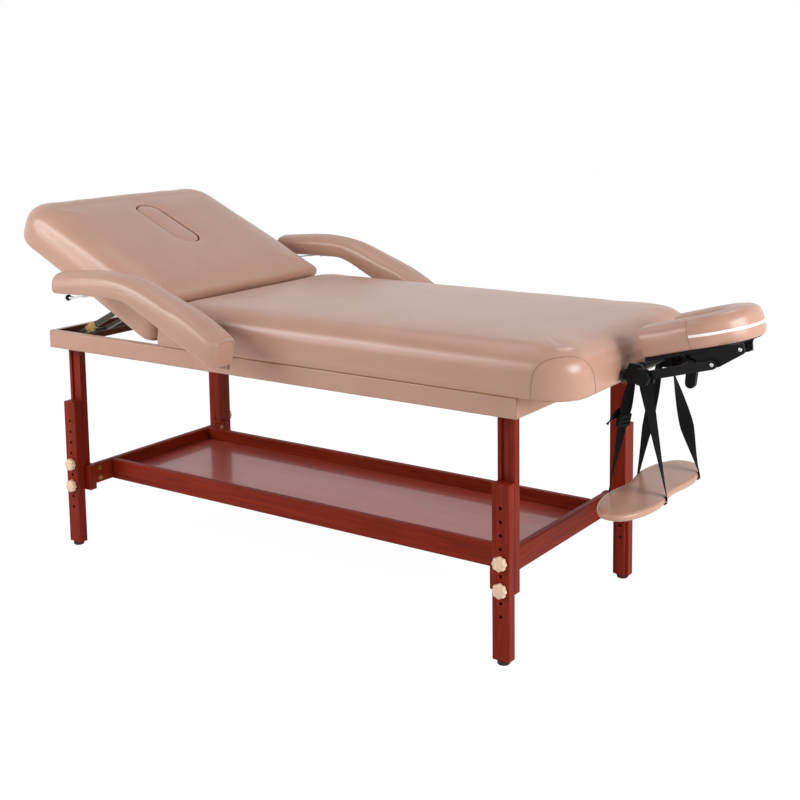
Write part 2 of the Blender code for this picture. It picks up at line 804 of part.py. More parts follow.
def build_lever(side, pivot, at):
    """A strip on a shoulder screw under the arm, dipping to a ferrule and a ball."""
    half = lever_width / 2
    ball = lever_ball / 2
    turn = lever_width * 0.6
    outline = [(turn, 0), (turn, -lever_board), (-turn, -lever_board),
               (-lever_length, -lever_dip - lever_board), (-lever_length, -lever_dip), (-turn, 0)]
    lever = add("armrest_lever_" + side, slab(outline, -half, half, "y"), STEEL, pivot, at)
    grip = bmesh.new()
    tip = Vector((-lever_length - 0.012, 0, -lever_dip - lever_board / 2))
    neck = tip + Vector((0.018, 0, 0))
    lie = Matrix.Translation((tip + neck) / 2) @ Matrix.Rotation(pi / 2, 4, "Y")
    bmesh.ops.create_cone(grip, cap_ends=True, segments=round_sides, radius1=0.0055, radius2=0.0035,
                          depth=(neck - tip).length, matrix=lie)
    there = Matrix.Translation(tip)
    bmesh.ops.create_uvsphere(grip, u_segments=14, v_segments=8, radius=ball, matrix=there)
    rod((0, 0, -lever_board - 0.003), (0, 0, -lever_board / 2), 2.2 * lever_screw_radius, grip)
    rod((0, 0, -lever_board / 2), (0, 0, lever_screw_depth), lever_screw_radius, grip)
    join(lever, grip)


def build_cradle_mount(slide):
    """The two pegs, the hub blocks they carry and the hanger bar between the blocks, and the sleeves."""
    peg_z = deck_low + deck_board / 2 - cradle_hub_z
    peg_y = cradle_spread / 2
    tip = main_end - peg_length - cradle_hub_x
    low = peg_z - hub_block_height / 2 + 0.008
    inner, outer = peg_y - hub_block_board / 2, peg_y + hub_block_board / 2
    high = low + hub_block_height
    start = -hub_block_lead
    end = start + hub_block_length
    outline = [(start, low), (end, low + 0.008), (end, low + hub_block_nose),
               (start + hub_block_shoulder, high), (start + 0.006, high), (start, low + 0.035)]
    blocks, extras = bmesh.new(), bmesh.new()
    studs = bmesh.new()
    for _, y in SIDES:
        span = sorted((y * inner, y * outer))
        slab(outline, span[0], span[1], "y", blocks)
        rod((tip, y * peg_y, peg_z), (start + 0.012, y * peg_y, peg_z), peg_radius, extras)
        bore((0, y * (inner - 0.01), 0), (0, y * (outer + 0.01), 0), hub_stud_radius + FIT, studs)
    bar = (-hanger_back, hanger_rise)
    rod((bar[0], -inner - 0.003, bar[1]), (bar[0], inner + 0.003, bar[1]), hanger_radius, extras, 16)
    mount = add("cradle_mount", blocks, BLACK, slide)
    join(mount, extras)
    cut(mount, studs)
    hollow = (peg_radius + FIT) / cos(pi / 16)
    wall = peg_radius + RUN + sleeve_wall
    inside, face = main_end - sleeve_length, main_end + FIT
    profile = [(inside, hollow), (face + flange_board, hollow), (face + flange_board, flange_radius),
               (face, flange_radius), (face, wall), (inside, wall)]
    height = deck_low + deck_board / 2
    for side, y in SIDES:
        add("peg_sleeve_" + side, turned(profile, 16), BLACK, table, (0, y * peg_y, height))


def cradle_path():
    """The middle line of the face pad: a leg, a half round at the far end, and the other leg."""
    points = [Vector((cradle_start, -cradle_start_half, 0))]
    points += [Vector((cradle_bow + x, y, 0)) for x, y in arc((0, 0), cradle_half, -90, 90, 12)]
    points.append(Vector((cradle_start, cradle_start_half, 0)))
    return points


def build_cradle(arms, tilt):
    """The cradle's arms with their pins, the hub knobs, the platform, its pad and the cam lever."""
    near = cradle_spread / 2 + hub_block_board / 2 + RUN
    far = near + arm_board
    reach = arm_height / 2
    plates, holes = bmesh.new(), bmesh.new()
    for _, y in SIDES:
        span = sorted((y * near, y * far))
        slab(stadium((0, 0), (arm_length, 0), reach), span[0], span[1], "y", plates)
        bore((0, y * (near - 0.01), 0), (0, y * (far + 0.01), 0), hub_stud_radius + FIT, holes)
    frame = add("cradle_arms", plates, BLACK, arms)
    tube = near + arm_board / 3
    joined = rod((cross_tube_along, -tube, 0), (cross_tube_along, tube, 0), cross_tube_radius)
    for _, y in SIDES:
        rod((arm_length, y * (near - arm_board), 0), (arm_length, y * tube, 0), pivot_pin_radius, joined)
    join(frame, joined)
    cut(frame, holes)
    for side, y in SIDES:
        grip = knob(hub_knob_diameter, hub_knob_height, hub_knob_lobes, hub_knob_lobe_depth,
                    hub_stud_radius, arm_board + hub_block_board)
        add("hub_knob_" + side, grip, BLACK, arms, (0, y * (far + RUN), 0), (-y * pi / 2, 0, 0))
    build_platform(tilt, near)
    build_cam_lever(arms)


def build_platform(tilt, arm_inner):
    """The horseshoe plate with a bar under each side, pinned to the arms, and the face pad on it."""
    path = [point - Vector((arm_length, 0, 0)) for point in cradle_path()]

    def across(ahead):
        return ahead.cross(Vector((0, 0, 1)))

    plain = [(1, 1)] * len(path)
    low, high = platform_rise, platform_rise + platform_board
    section = flat_section(platform_half, -high, -low)
    plate = add("cradle_platform", sweep(path, across, section, plain), BLACK, tilt)
    bars, holes = bmesh.new(), bmesh.new()
    outer = arm_inner - RUN
    inner = outer - arm_board
    start = platform_bar_start - arm_length
    for (_, y), tip in zip(SIDES, (platform_bar_end, platform_far_bar_end)):
        end = tip - arm_length
        outline = [(start, low - 0.004), (-0.014, -platform_bar_low), (0.012, -platform_bar_low),
                   (end - 0.004, low - 0.020), (end, low - 0.014), (end, low + 0.003), (start, low + 0.003)]
        span = sorted((y * inner, y * outer))
        slab(outline, span[0], span[1], "y", bars)
        bore((0, y * (inner - 0.01), 0), (0, y * (outer + 0.01), 0), pivot_pin_radius + FIT, holes)
    join(plate, bars)
    cut(plate, holes)
    path, scales = end_rounded(path, 0.020, 0.90, 0.72)
    pillow = pillow_section(face_pad_half, face_pad_height, face_pad_round, face_pad_crown)
    section = [(a, -b - high - FIT) for a, b in pillow]
    add("face_pad", sweep(path, across, section, [(w, 1) for w, _ in scales]), VINYL, tilt)


def build_cam_lever(arms):
    """A paddle on the cross tube that clamps the arms."""
    lean = radians(lever_paddle_lean)
    foot = (-sin(lean) * lever_paddle_reach, -cos(lean) * lever_paddle_reach)
    turn = degrees(atan2(foot[1], foot[0]))
    outline = arc((0, 0), lever_ring_radius, turn + 90, turn + 270, 8)
    outline += arc(foot, lever_paddle_half, turn - 90, turn + 90, 8)
    half = lever_ring_width / 2
    lever = add("cam_lever", slab(outline, -half, half, "y"), BLACK, arms, (cross_tube_along, 0, 0))
    cut(lever, bore((0, -half - 0.01, 0), (0, half + 0.01, 0), cross_tube_radius + FIT))


def shelf_outline(inset):
    """A board with two wide round ends and a narrow waist."""
    points = []
    for k in range(36):
        t = 2 * pi * k / 36
        y = (shelf_length / 2 - inset) * sin(t)
        reach = abs(cos(t)) ** 0.62 * (1 if cos(t) > 0 else -1)
        waist = 1 - shelf_waist * exp(-((y / shelf_waist_reach) ** 2))
        points.append(((shelf_half * waist - inset) * reach, y))
    return points


def shelf_half_at(y):
    """Half the shelf's width at one place along it."""
    share = abs(1 - (2 * y / shelf_length) ** 2) ** 0.31
    return shelf_half * (1 - shelf_waist * exp(-((y / shelf_waist_reach) ** 2))) * share


def strap_loop(gap):
    """A strap's loop in x and z: over the hanger bar, down both sides and under the shelf."""
    reach = strap_width / 2
    ends = [strap_place(sign, x, -shelf_drop) for sign in (-1, 1) for x in (-shelf_half, shelf_half)]
    half = max(shelf_half_at(y + edge) for y in ends for edge in (-reach, 0, reach)) + strap_gap + gap
    high = -shelf_drop + shelf_height / 2
    low = -shelf_drop - shelf_height / 2 - strap_gap - gap
    radius = hanger_radius + strap_gap + gap
    lean = degrees(atan2(half - radius, -high))
    over = arc((0, 0), radius, lean, 180 - lean, 8)
    turn = 0.006
    left = [(-half, high - 0.006), (-half, low + turn), (-half + turn, low)]
    return over + left + [(-x, z) for x, z in reversed(left)]


def strap_place(y_sign, x, z):
    """Where the middle of a strap lies across the table: it splays and twists on its way down."""
    share = min(max(-z / (shelf_drop - shelf_height / 2), 0), 1)
    apart = strap_top_spread + (strap_spread - strap_top_spread) * share
    return y_sign * apart / 2 + (strap_shift + strap_twist * x) * share


def build_shelf(hang):
    """The hourglass shelf, the two strap loops that carry it, and the buckle on the near strap."""
    low, high = -shelf_drop - shelf_height / 2, -shelf_drop + shelf_height / 2
    profile = [(0.008, low), (0.001, low + 0.005), (0, low + 0.012), (0.001, high - 0.009),
               (0.005, high - 0.003), (0.014, high), (0.035, high + 0.002)]
    rings = [[(x, y, z) for x, y in shelf_outline(inset)] for inset, z in profile]
    add("arm_shelf", loft(rings), VINYL, hang)
    for side, y in SIDES:
        add("shelf_strap_" + side, strap_ring(y), WEBBING, hang)
    build_buckle(hang)


def strap_ring(y_sign):
    """One strap as a closed band of even thickness."""
    shape = bmesh.new()
    half = strap_width / 2
    rings = []
    for (a, b), (c, d) in zip(strap_loop(0), strap_loop(strap_board)):
        near, far = strap_place(y_sign, a, b), strap_place(y_sign, c, d)
        spots = ((a, near - half, b), (a, near + half, b), (c, far + half, d), (c, far - half, d))
        rings.append([shape.verts.new(spot) for spot in spots])
    skin_closed(shape, rings)
    return shape


def build_buckle(hang):
    """A ladder buckle round the near strap's table side, lying along the strap."""
    loop = strap_loop(strap_board / 2)
    top, foot = Vector(loop[8]), Vector(loop[9])
    spot = top.lerp(foot, buckle_share)
    top_y, foot_y = strap_place(-1, *top), strap_place(-1, *foot)
    y = top_y + (foot_y - top_y) * buckle_share
    lean = atan2(foot.x - top.x, foot.y - top.y)
    half, board, length = buckle_width / 2, buckle_board / 2, buckle_length / 2
    body = box((-board, -half, -length), (board, half, length))
    shift = abs(foot_y - top_y) / 2 * buckle_length / (foot - top).length
    slot = (strap_board / 2 + RUN, strap_width / 2 + RUN + shift)
    buckle = add("strap_buckle", body, BLACK, hang, (spot.x, y, spot.y), (0, lean + pi, 0))
    soften(buckle, 0.0015)
    cut(buckle, box((-slot[0], -slot[1], -length - 0.01), (slot[0], slot[1], length + 0.01)))


def settle():
    """Move the table so that its box is centred over the origin."""
    bpy.context.view_layer.update()
    shapes = [piece for piece in bpy.data.objects if piece.type == "MESH" and not piece.hide_render]
    graph = bpy.context.evaluated_depsgraph_get()
    corners = []
    for piece in shapes:
        shown = piece.evaluated_get(graph)
        corners += [piece.matrix_world @ vertex.co for vertex in shown.data.vertices]
    low = Vector([min(corner[k] for corner in corners) for k in range(3)])
    high = Vector([max(corner[k] for corner in corners) for k in range(3)])
    table.location = (-(low.x + high.x) / 2, -(low.y + high.y) / 2, -low.z)
    bpy.context.view_layer.update()
    print("box", [round(v, 4) for v in high - low], "moved", [round(v, 6) for v in table.location])


build_apron()
for end_name, end_sign in ENDS:
    for side_name, side_sign in SIDES:
        build_leg(end_name, end_sign, side_name, side_sign)
build_tray()
build_main_bed()
back_pivot = empty("back_pivot", table, (hinge_x, 0, deck_low), back_angle)
build_hinge(back_pivot)
build_back(back_pivot)
build_stay(back_pivot)
for side_name, side_sign in SIDES:
    build_armrest(side_name, side_sign)
cradle_slide = empty("cradle_slide", table, (cradle_hub_x, 0, cradle_hub_z))
build_cradle_mount(cradle_slide)
arm_pivot = empty("cradle_arm_pivot", cradle_slide, (0, 0, 0), -cradle_angle)
platform_pivot = empty("platform_pivot", arm_pivot, (arm_length, 0, 0))
build_cradle(arm_pivot, platform_pivot)
shelf_pivot = empty("shelf_pivot", cradle_slide, (-hanger_back, 0, hanger_rise))
build_shelf(shelf_pivot)
settle()
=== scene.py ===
# %% [markdown]
# # A wooden massage table
# The table has a wooden leg frame with a tray, an upholstered bed with a lifting back, two padded
# armrests, a face cradle and a hanging arm shelf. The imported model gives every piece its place, so
# this lesson only replaces what needs rounder edges, softer forms or finer detail.

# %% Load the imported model
import json
from math import cos, exp, pi, radians, sin

import bmesh
import bpy
import numpy as np
from mathutils import Matrix, Vector, noise
from mathutils.bvhtree import BVHTree


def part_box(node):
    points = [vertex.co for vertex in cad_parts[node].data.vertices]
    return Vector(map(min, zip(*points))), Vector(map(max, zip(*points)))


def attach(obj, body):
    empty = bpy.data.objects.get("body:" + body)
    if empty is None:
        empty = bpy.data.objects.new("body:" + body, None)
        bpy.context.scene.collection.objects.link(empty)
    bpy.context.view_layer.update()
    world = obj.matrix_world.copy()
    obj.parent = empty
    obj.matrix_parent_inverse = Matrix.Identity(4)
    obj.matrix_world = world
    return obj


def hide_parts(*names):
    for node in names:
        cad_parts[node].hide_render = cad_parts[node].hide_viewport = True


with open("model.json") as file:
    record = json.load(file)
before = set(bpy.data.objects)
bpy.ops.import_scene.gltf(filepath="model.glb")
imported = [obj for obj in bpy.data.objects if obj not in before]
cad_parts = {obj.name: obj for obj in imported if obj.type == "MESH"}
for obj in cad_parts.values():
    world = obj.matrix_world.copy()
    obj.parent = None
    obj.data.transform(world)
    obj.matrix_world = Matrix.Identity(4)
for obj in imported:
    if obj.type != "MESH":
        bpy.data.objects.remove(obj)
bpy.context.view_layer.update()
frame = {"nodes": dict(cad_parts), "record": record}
home = {name: body for body, names in frame["record"]["behaviour"]["bodies"].items() for name in names}

# %% [markdown]
# The leg frame's middle stands a little off the origin, because the whole box is centred there.
# Places that were measured from the leg frame are moved by this distance along the table. The back
# and the cradle's arms are made lying level at their hinges and then tipped into place.

# %% Places that several pieces share
SHIFT = -0.14866016
SIDES = (("near", -1), ("far", 1))
ENDS = (("head", -1), ("foot", 1))
HINGE = Vector((-0.36 + SHIFT, 0, 0.6383))
CRADLE_HUB = Vector((0.963 + SHIFT, 0, 0.664))
BACK_ANGLE, CRADLE_ANGLE = radians(26.4), radians(15.6)
TO_BACK = Matrix.Translation(HINGE) @ Matrix.Rotation(BACK_ANGLE, 4, "Y")
TO_ARMS = Matrix.Translation(CRADLE_HUB) @ Matrix.Rotation(-CRADLE_ANGLE, 4, "Y")
FROM_BACK, FROM_ARMS = TO_BACK.inverted(), TO_ARMS.inverted()
ALONG, ACROSS = Vector((1, 0, 0)), Vector((0, 1, 0))
WELD, FLAT = 0.00002, radians(1.0)
print("hinge at", tuple(round(part, 3) for part in HINGE))

# %% [markdown]
# Blender's operators act on whatever is selected. These small helpers let everything go, take one
# piece, choose its faces, edges or corners by where they are, and apply a modifier at once.

# %% Hands: select, choose, apply


def let_go():
    """Leave edit mode and deselect everything."""
    if bpy.context.mode != "OBJECT":
        put_down()
    bpy.ops.object.select_all(action="DESELECT")


def take(piece):
    """Make one piece the selected and active one."""
    let_go()
    piece.select_set(True)
    bpy.context.view_layer.objects.active = piece


def pick(piece, kind, test=lambda part: True):
    """Open a piece in edit mode with the corners, edges or faces that pass a test selected."""
    take(piece)
    bpy.ops.object.mode_set(mode="EDIT")
    bpy.ops.mesh.select_mode(type=kind)
    bpy.ops.mesh.select_all(action="DESELECT")
    shape = bmesh.from_edit_mesh(piece.data)
    for part in {"VERT": shape.verts, "EDGE": shape.edges, "FACE": shape.faces}[kind]:
        if test(part):
            part.select_set(True)
    shape.select_flush_mode()
    bmesh.update_edit_mesh(piece.data)


def put_down():
    """Go back to object mode."""
    bpy.ops.object.mode_set(mode="OBJECT")


def modify(piece, kind, **settings):
    """Add one modifier and apply it."""
    step = piece.modifiers.new(kind.title(), kind)
    for key, value in settings.items():
        setattr(step, key, value)
    take(piece)
    bpy.ops.object.modifier_apply(modifier=step.name)


def round_over(piece, width, segments=2, angle=40):
    """Round over the edges that are sharper than an angle in degrees."""
    modify(piece, "BEVEL", width=width, segments=segments, limit_method="ANGLE", angle_limit=radians(angle))


def saw(piece, at, way):
    """Cut through a piece's faces along a plane and leave both halves joined."""
    pick(piece, "FACE")
    bpy.ops.mesh.bisect(plane_co=at, plane_no=way)
    put_down()


def join(first, *others):
    """Join pieces into the first one."""
    let_go()
    for piece in (first, *others):
        piece.select_set(True)
    bpy.context.view_layer.objects.active = first
    bpy.ops.object.join()
    return first


def stand(piece, at, towards):
    """Turn a piece that was made upright towards a direction and move it to its place."""
    piece.data.transform(Vector(towards).to_track_quat("Z", "Y").to_matrix().to_4x4())
    piece.data.transform(Matrix.Translation(at))
    return piece


# %% [markdown]
# Pieces begin in four ways: as a block, as a round bar, as a mesh that is drawn face by face, or as
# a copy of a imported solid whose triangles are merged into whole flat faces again. Each one is
# dressed at the end: it gets its material, its shading and the body that it rides on.

# %% Hands: begin a piece and dress it


def applied(name):
    """Name the piece that an operator just added and apply its place, turn and size."""
    made = bpy.context.object
    made.name = name
    bpy.ops.object.transform_apply(location=True, rotation=True, scale=True)
    return made


def block(name, low, high):
    """A block between two corners, the start of sawn and moulded pieces."""
    let_go()
    low, high = Vector(low), Vector(high)
    bpy.ops.mesh.primitive_cube_add(size=1, location=(low + high) / 2)
    bpy.context.object.scale = high - low
    return applied(name)


def disc(name, centre, towards, radius, depth, sides=24):
    """A short round bar, the start of screw heads, nuts and turned pieces."""
    let_go()
    turn = Vector(towards).to_track_quat("Z", "Y").to_euler()
    bpy.ops.mesh.primitive_cylinder_add(vertices=sides, radius=radius, depth=depth, location=centre,
                                        rotation=turn)
    return applied(name)


def set_out(name, data):
    """A new object in the scene for a mesh, a curve, a lamp or a camera."""
    made = bpy.data.objects.new(name, data)
    bpy.context.scene.collection.objects.link(made)
    return made


def welded(name, shape):
    """A new piece from a drawn mesh, with corners that meet merged; it stays open for editing."""
    mesh = bpy.data.meshes.new(name)
    shape.to_mesh(mesh)
    shape.free()
    made = set_out(name, mesh)
    pick(made, "VERT")
    bpy.ops.mesh.remove_doubles(threshold=WELD)
    return made


def merged_copy(name, node_name):
    """A copy of a CAD node with its triangles merged and its flat faces made whole."""
    shape = bmesh.new()
    shape.from_mesh(frame["nodes"][node_name].data)
    made = welded(name, shape)
    pick(made, "FACE")
    bpy.ops.mesh.dissolve_limited(angle_limit=FLAT)
    put_down()
    return made


def paint(piece, finish):
    """Give a piece one material in place of what it has."""
    piece.data.materials.clear()
    piece.data.materials.append(finish)


def dress(piece, finish, body, slot, *nodes, angle=35):
    """Give a finished piece its material, smooth shading, the body it rides on and what it replaces."""
    paint(piece, finish)
    take(piece)
    bpy.ops.object.shade_smooth_by_angle(angle=radians(angle))
    if angle < 90:
        modify(piece, "WEIGHTED_NORMAL", mode="FACE_AREA", keep_sharp=True)
    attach(piece, body)
    if nodes:
        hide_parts(*nodes)
    return piece


# %% [markdown]
# Colours are written as the hex values a picture shows and turned to linear light by one function.
# One more function adds a shader node with its settings and links. The scale of a pattern is how many
# of its features fit in 1000 mm: 380 of them are 2.6 mm across each.

# %% Colour and nodes


def hue(code):
    """A hex colour as linear red, green, blue and alpha."""
    parts = [int(code[k:k + 2], 16) / 255 for k in (1, 3, 5)]
    linear = [p / 12.92 if p <= 0.04045 else ((p + 0.055) / 1.055) ** 2.4 for p in parts]
    return (*linear, 1.0)


def feed(tree, target, **sources):
    """Link outputs to a node's sockets; a socket's name has _ for a space."""
    for key, source in sources.items():
        tree.links.new(source, target.inputs[key.replace("_", " ")])


def node(tree, kind, settings=None, **links):
    """Add a node; settings fill its own fields or sockets, links name what feeds each socket."""
    made = tree.nodes.new(kind)
    for key, value in (settings or {}).items():
        if key in made.inputs:
            made.inputs[key].default_value = value
        else:
            setattr(made, key, value)
    feed(tree, made, **links)
    return made


def combine(tree, operation, first, second):
    """A maths node on two values."""
    made = node(tree, "ShaderNodeMath", {"operation": operation})
    tree.links.new(first, made.inputs[0])
    tree.links.new(second, made.inputs[1])
    return made.outputs["Value"]


def begin(name, roughness, **sockets):
    """A new material with its shader, its tree and the object coordinates."""
    made = bpy.data.materials.new(name)
    made.use_nodes = True
    tree = made.node_tree
    shader = tree.nodes["Principled BSDF"]
    shader.inputs["Roughness"].default_value = roughness
    for key, value in sockets.items():
        shader.inputs[key.replace("_", " ")].default_value = value
    return made, tree, shader, tree.nodes.new("ShaderNodeTexCoord").outputs["Object"]


def ramp(tree, source, *stops):
    """A colour ramp fed by a value."""
    made = node(tree, "ShaderNodeValToRGB", Fac=source)
    band = made.color_ramp
    while len(band.elements) < len(stops):
        band.elements.new(0.5)
    for element, (spot, colour) in zip(band.elements, stops):
        element.position = spot
        element.color = colour
    return made.outputs["Color"]


def gloss(tree, source, low, high):
    """A roughness that goes from low to high with a value."""
    return ramp(tree, source, (0.3, (low, low, low, 1.0)), (0.7, (high, high, high, 1.0)))


def clouds(tree, place, per_metre, detail, **more):
    """Soft noise as a value, with so many features in a metre."""
    settings = {"Scale": per_metre, "Detail": detail, **more}
    return node(tree, "ShaderNodeTexNoise", settings, Vector=place).outputs["Fac"]


def relief(tree, height, strength, depth, **links):
    """A normal that is bent by a height."""
    made = node(tree, "ShaderNodeBump", {"Strength": strength, "Distance": depth}, Height=height, **links)
    return made.outputs["Normal"]


# %% [markdown]
# The upholstery is PVC leathercloth, embossed with a fine pebble grain and stretched over foam. It
# shows broad soft highlights and a slight mottle. The real grain is about 1 mm, too fine for one
# pixel here, so it is drawn at about 2.6 mm.

# %% Embossed leathercloth


def leathercloth(name, base, deep, pale, roughness=0.28):
    """Embossed cover: a broad mottle of three near tones, a fine crumple and the pebble grain."""
    made, tree, shader, place = begin(name, roughness, Specular_IOR_Level=0.40)
    mottle = clouds(tree, place, 9.0, 3.0, Roughness=0.55)
    crumple = clouds(tree, place, 60.0, 4.0)
    pebble = node(tree, "ShaderNodeTexVoronoi", {"Scale": 380.0, "feature": "SMOOTH_F1", "Smoothness": 0.6},
                  Vector=place)
    grain = relief(tree, pebble.outputs["Distance"], 0.02, 0.0005)
    feed(tree, shader, Normal=relief(tree, crumple, 0.008, 0.0012, Normal=grain),
         Base_Color=ramp(tree, mottle, (0.30, hue(deep)), (0.52, hue(base)), (0.74, hue(pale))),
         Roughness=gloss(tree, crumple, roughness, roughness + 0.03))
    return made


VINYL = leathercloth("tan_leathercloth", "#B48B79", "#B18876", "#B78E7C")
# The seam cords use a darker tone of the cover: painted shade of the sunken stitch groove.
SHADED_SEAM = leathercloth("tan_leathercloth_seam_painted_shade", "#8E6B5C", "#876455", "#957263")
print("covers", VINYL.name, SHADED_SEAM.name)

# %% [markdown]
# The legs and rails are a pale hardwood stained mahogany under satin lacquer. The grain runs along
# each stick in fine streaks, so the pattern is stretched along the stick's own direction. The tray
# is a board under gloss lacquer, and the inside of the apron is bare.

# %% Stained and lacquered hardwood
MAHOGANY = ("#571008", "#791F0B", "#922F12")
GRAIN_STRETCH = 0.045


def stained_wood(name, along, tones=MAHOGANY, roughness=0.46, coat=0.0, shine=0.12):
    """Streaked wood along one axis, from a dark, a middle and a light tone."""
    made, tree, shader, place = begin(name, roughness, Specular_IOR_Level=shine, Coat_Weight=coat,
                                      Coat_Roughness=0.07)
    stretch = [GRAIN_STRETCH if axis == along else 1.0 for axis in "xyz"]
    lie = node(tree, "ShaderNodeMapping", {"Scale": stretch}, Vector=place).outputs["Vector"]
    streak = clouds(tree, lie, 130.0, 6.0, Roughness=0.62, Distortion=0.6)
    broad = clouds(tree, lie, 22.0, 2.0)
    blend = node(tree, "ShaderNodeMix", {"data_type": "FLOAT", "Factor": 0.35})
    tree.links.new(streak, blend.inputs[2])
    tree.links.new(broad, blend.inputs[3])
    dark, middle, light = (hue(tone) for tone in tones)
    feed(tree, shader, Normal=relief(tree, streak, 0.12, 0.0006),
         Base_Color=ramp(tree, blend.outputs[0], (0.28, dark), (0.50, middle), (0.74, light)),
         Roughness=gloss(tree, broad, roughness - 0.02, roughness + 0.08))
    return made


WOOD_UP = stained_wood("mahogany_stained_beech_upright", "z")
WOOD_LONG = stained_wood("mahogany_stained_beech_long", "x")
WOOD_ACROSS = stained_wood("mahogany_stained_beech_across", "y")
TRAY = stained_wood("gloss_lacquered_tray_board", "x", ("#943A30", "#A04236", "#AA4A3D"), 0.30, 0.35, 0.3)
BARE = stained_wood("bare_stained_apron_wood", "x", ("#46281B", "#573222", "#653C2A"), 0.6)
PLY = stained_wood("birch_plywood", "x", ("#A8835A", "#BE9A6E", "#CFB088"), 0.6)
print("woods", WOOD_UP.name, TRAY.name, BARE.name, PLY.name)

# %% [markdown]
# Small parts: moulded ABS knobs, black glass-filled nylon, black enamelled steel, woven webbing,
# rubber glides, bright and yellow zinc on steel, and a white zip tape.

# %% Plastics, metals and webbing


def moulded(name, colour, other, roughness, grain=900.0, bump=0.05, metallic=0.0, shine=0.5):
    """A moulded, painted or plated surface: a fine texture and a slight change of tone."""
    made, tree, shader, place = begin(name, roughness, Metallic=metallic, Specular_IOR_Level=shine)
    cloud = clouds(tree, place, 45.0, 3.0)
    grit = clouds(tree, place, grain, 2.0)
    feed(tree, shader, Normal=relief(tree, grit, bump, 0.0004),
         Base_Color=ramp(tree, cloud, (0.35, hue(colour)), (0.65, hue(other))),
         Roughness=gloss(tree, cloud, roughness - 0.05, roughness + 0.07))
    return made


def woven(name, colour, other, ribs=14.0, picks=1.6):
    """Flat webbing: ribs along it and picks across it, drawn on the strap's own UV."""
    made, tree, shader, _ = begin(name, 0.8, Specular_IOR_Level=0.1)
    flat = tree.nodes.new("ShaderNodeUVMap").outputs["UV"]
    lie = node(tree, "ShaderNodeMapping", {"Scale": (ribs, picks, 1.0)}, Vector=flat).outputs["Vector"]
    rib, pick_row = (node(tree, "ShaderNodeTexWave", {"Scale": 1.0, "bands_direction": way,
                                                      "Distortion": bend}, Vector=lie).outputs["Fac"]
                     for way, bend in (("X", 0.0), ("Y", 0.4)))
    weave = combine(tree, "MULTIPLY", rib, pick_row)
    feed(tree, shader, Normal=relief(tree, weave, 0.3, 0.0005),
         Base_Color=ramp(tree, weave, (0.1, hue(colour)), (0.8, hue(other))))
    return made


KNOB = moulded("beige_abs", "#DDB99F", "#E4C2A8", 0.36)
NYLON = moulded("black_filled_nylon", "#060607", "#0A0A0B", 0.50, bump=0.12, shine=0.15)
ENAMEL = moulded("black_enamelled_steel", "#060607", "#0A0A0B", 0.48, shine=0.2)
RUBBER = moulded("dark_brown_rubber", "#34211C", "#3E2822", 0.75, bump=0.1, shine=0.3)
ZINC = moulded("bright_zinc_plate", "#B9BBBD", "#D2D3D4", 0.33, metallic=1.0)
YELLOW = moulded("yellow_zinc_plate", "#8F6F3E", "#A98852", 0.34, metallic=1.0)
BRONZE = moulded("dark_bronzed_steel", "#2B2822", "#38342B", 0.42, metallic=0.4)
BROWN = moulded("tan_enamelled_steel", "#86675A", "#8E6E60", 0.5, shine=0.3)
STRAP = woven("black_polypropylene_webbing", "#040405", "#08080A")
ZIP = moulded("white_zip_tape", "#EFE3E2", "#F8F1F0", 0.5, grain=300.0, bump=0.2)
print("materials", len(bpy.data.materials))

# %% [markdown]
# The studio: a pale floor that runs up into a white world, and large soft lamps. Camera and glossy
# rays see plain white; the lamps do the lighting.

# %% Floor, world, lamps
FLOOR_GLOW, FLOOR_SHARE, SKY = 1.07, 0.90, 0.31


def rays(tree, *kinds):
    """1 for rays of the named kinds and 0 for others."""
    path = node(tree, "ShaderNodeLightPath")
    value = path.outputs[kinds[0]]
    for kind in kinds[1:]:
        value = combine(tree, "MAXIMUM", value, path.outputs[kind])
    return value


def show_mixed(tree, share, first, second, end):
    """Mix two shaders by a share and send them to the tree's end."""
    mixed = tree.nodes.new("ShaderNodeMixShader")
    for socket, source in zip(mixed.inputs, (share, first.outputs[0], second.outputs[0])):
        tree.links.new(source, socket)
    node(tree, end, Surface=mixed.outputs["Shader"])


def softbox(name, at, aim, width, height, power):
    """A large rectangular lamp that looks at a point."""
    lamp = bpy.data.lights.new(name, "AREA")
    lamp.shape = "RECTANGLE"
    lamp.size, lamp.size_y = width, height
    lamp.energy = power
    made = set_out(name, lamp)
    made.location = at
    made.rotation_euler = (Vector(aim) - Vector(at)).to_track_quat("-Z", "Y").to_euler()


let_go()
bpy.ops.mesh.primitive_plane_add(size=60, location=(0, 0, 0))
floor = bpy.context.object
floor.name = "studio_floor"
paper = bpy.data.materials.new("pale_studio_paper")
world = bpy.data.worlds.new("white_studio")
bpy.context.scene.world = world
for lit in (paper, world):
    lit.use_nodes = True
    lit.node_tree.nodes.clear()
tree = paper.node_tree
scaled = node(tree, "ShaderNodeMath", {"operation": "MULTIPLY"})
tree.links.new(rays(tree, "Is Camera Ray", "Is Glossy Ray"), scaled.inputs[0])
scaled.inputs[1].default_value = FLOOR_SHARE
show_mixed(tree, scaled.outputs["Value"], node(tree, "ShaderNodeBsdfDiffuse", {"Color": hue("#F4F4F3")}),
           node(tree, "ShaderNodeEmission", {"Color": hue("#FFFFFF"), "Strength": FLOOR_GLOW}),
           "ShaderNodeOutputMaterial")
floor.data.materials.append(paper)
tree = world.node_tree
show_mixed(tree, rays(tree, "Is Camera Ray", "Is Transmission Ray", "Is Glossy Ray"),
           node(tree, "ShaderNodeBackground", {"Color": hue("#FFFFFF"), "Strength": SKY}),
           node(tree, "ShaderNodeBackground", {"Color": hue("#FEFEFE"), "Strength": 1.0}),
           "ShaderNodeOutputWorld")
softbox("overhead", (-0.6, -0.2, 2.9), (0, 0, 0.6), 2.2, 0.9, 8)
softbox("front_left", (-2.0, -2.6, 2.3), (0, 0, 0.5), 2.0, 0.80, 48)
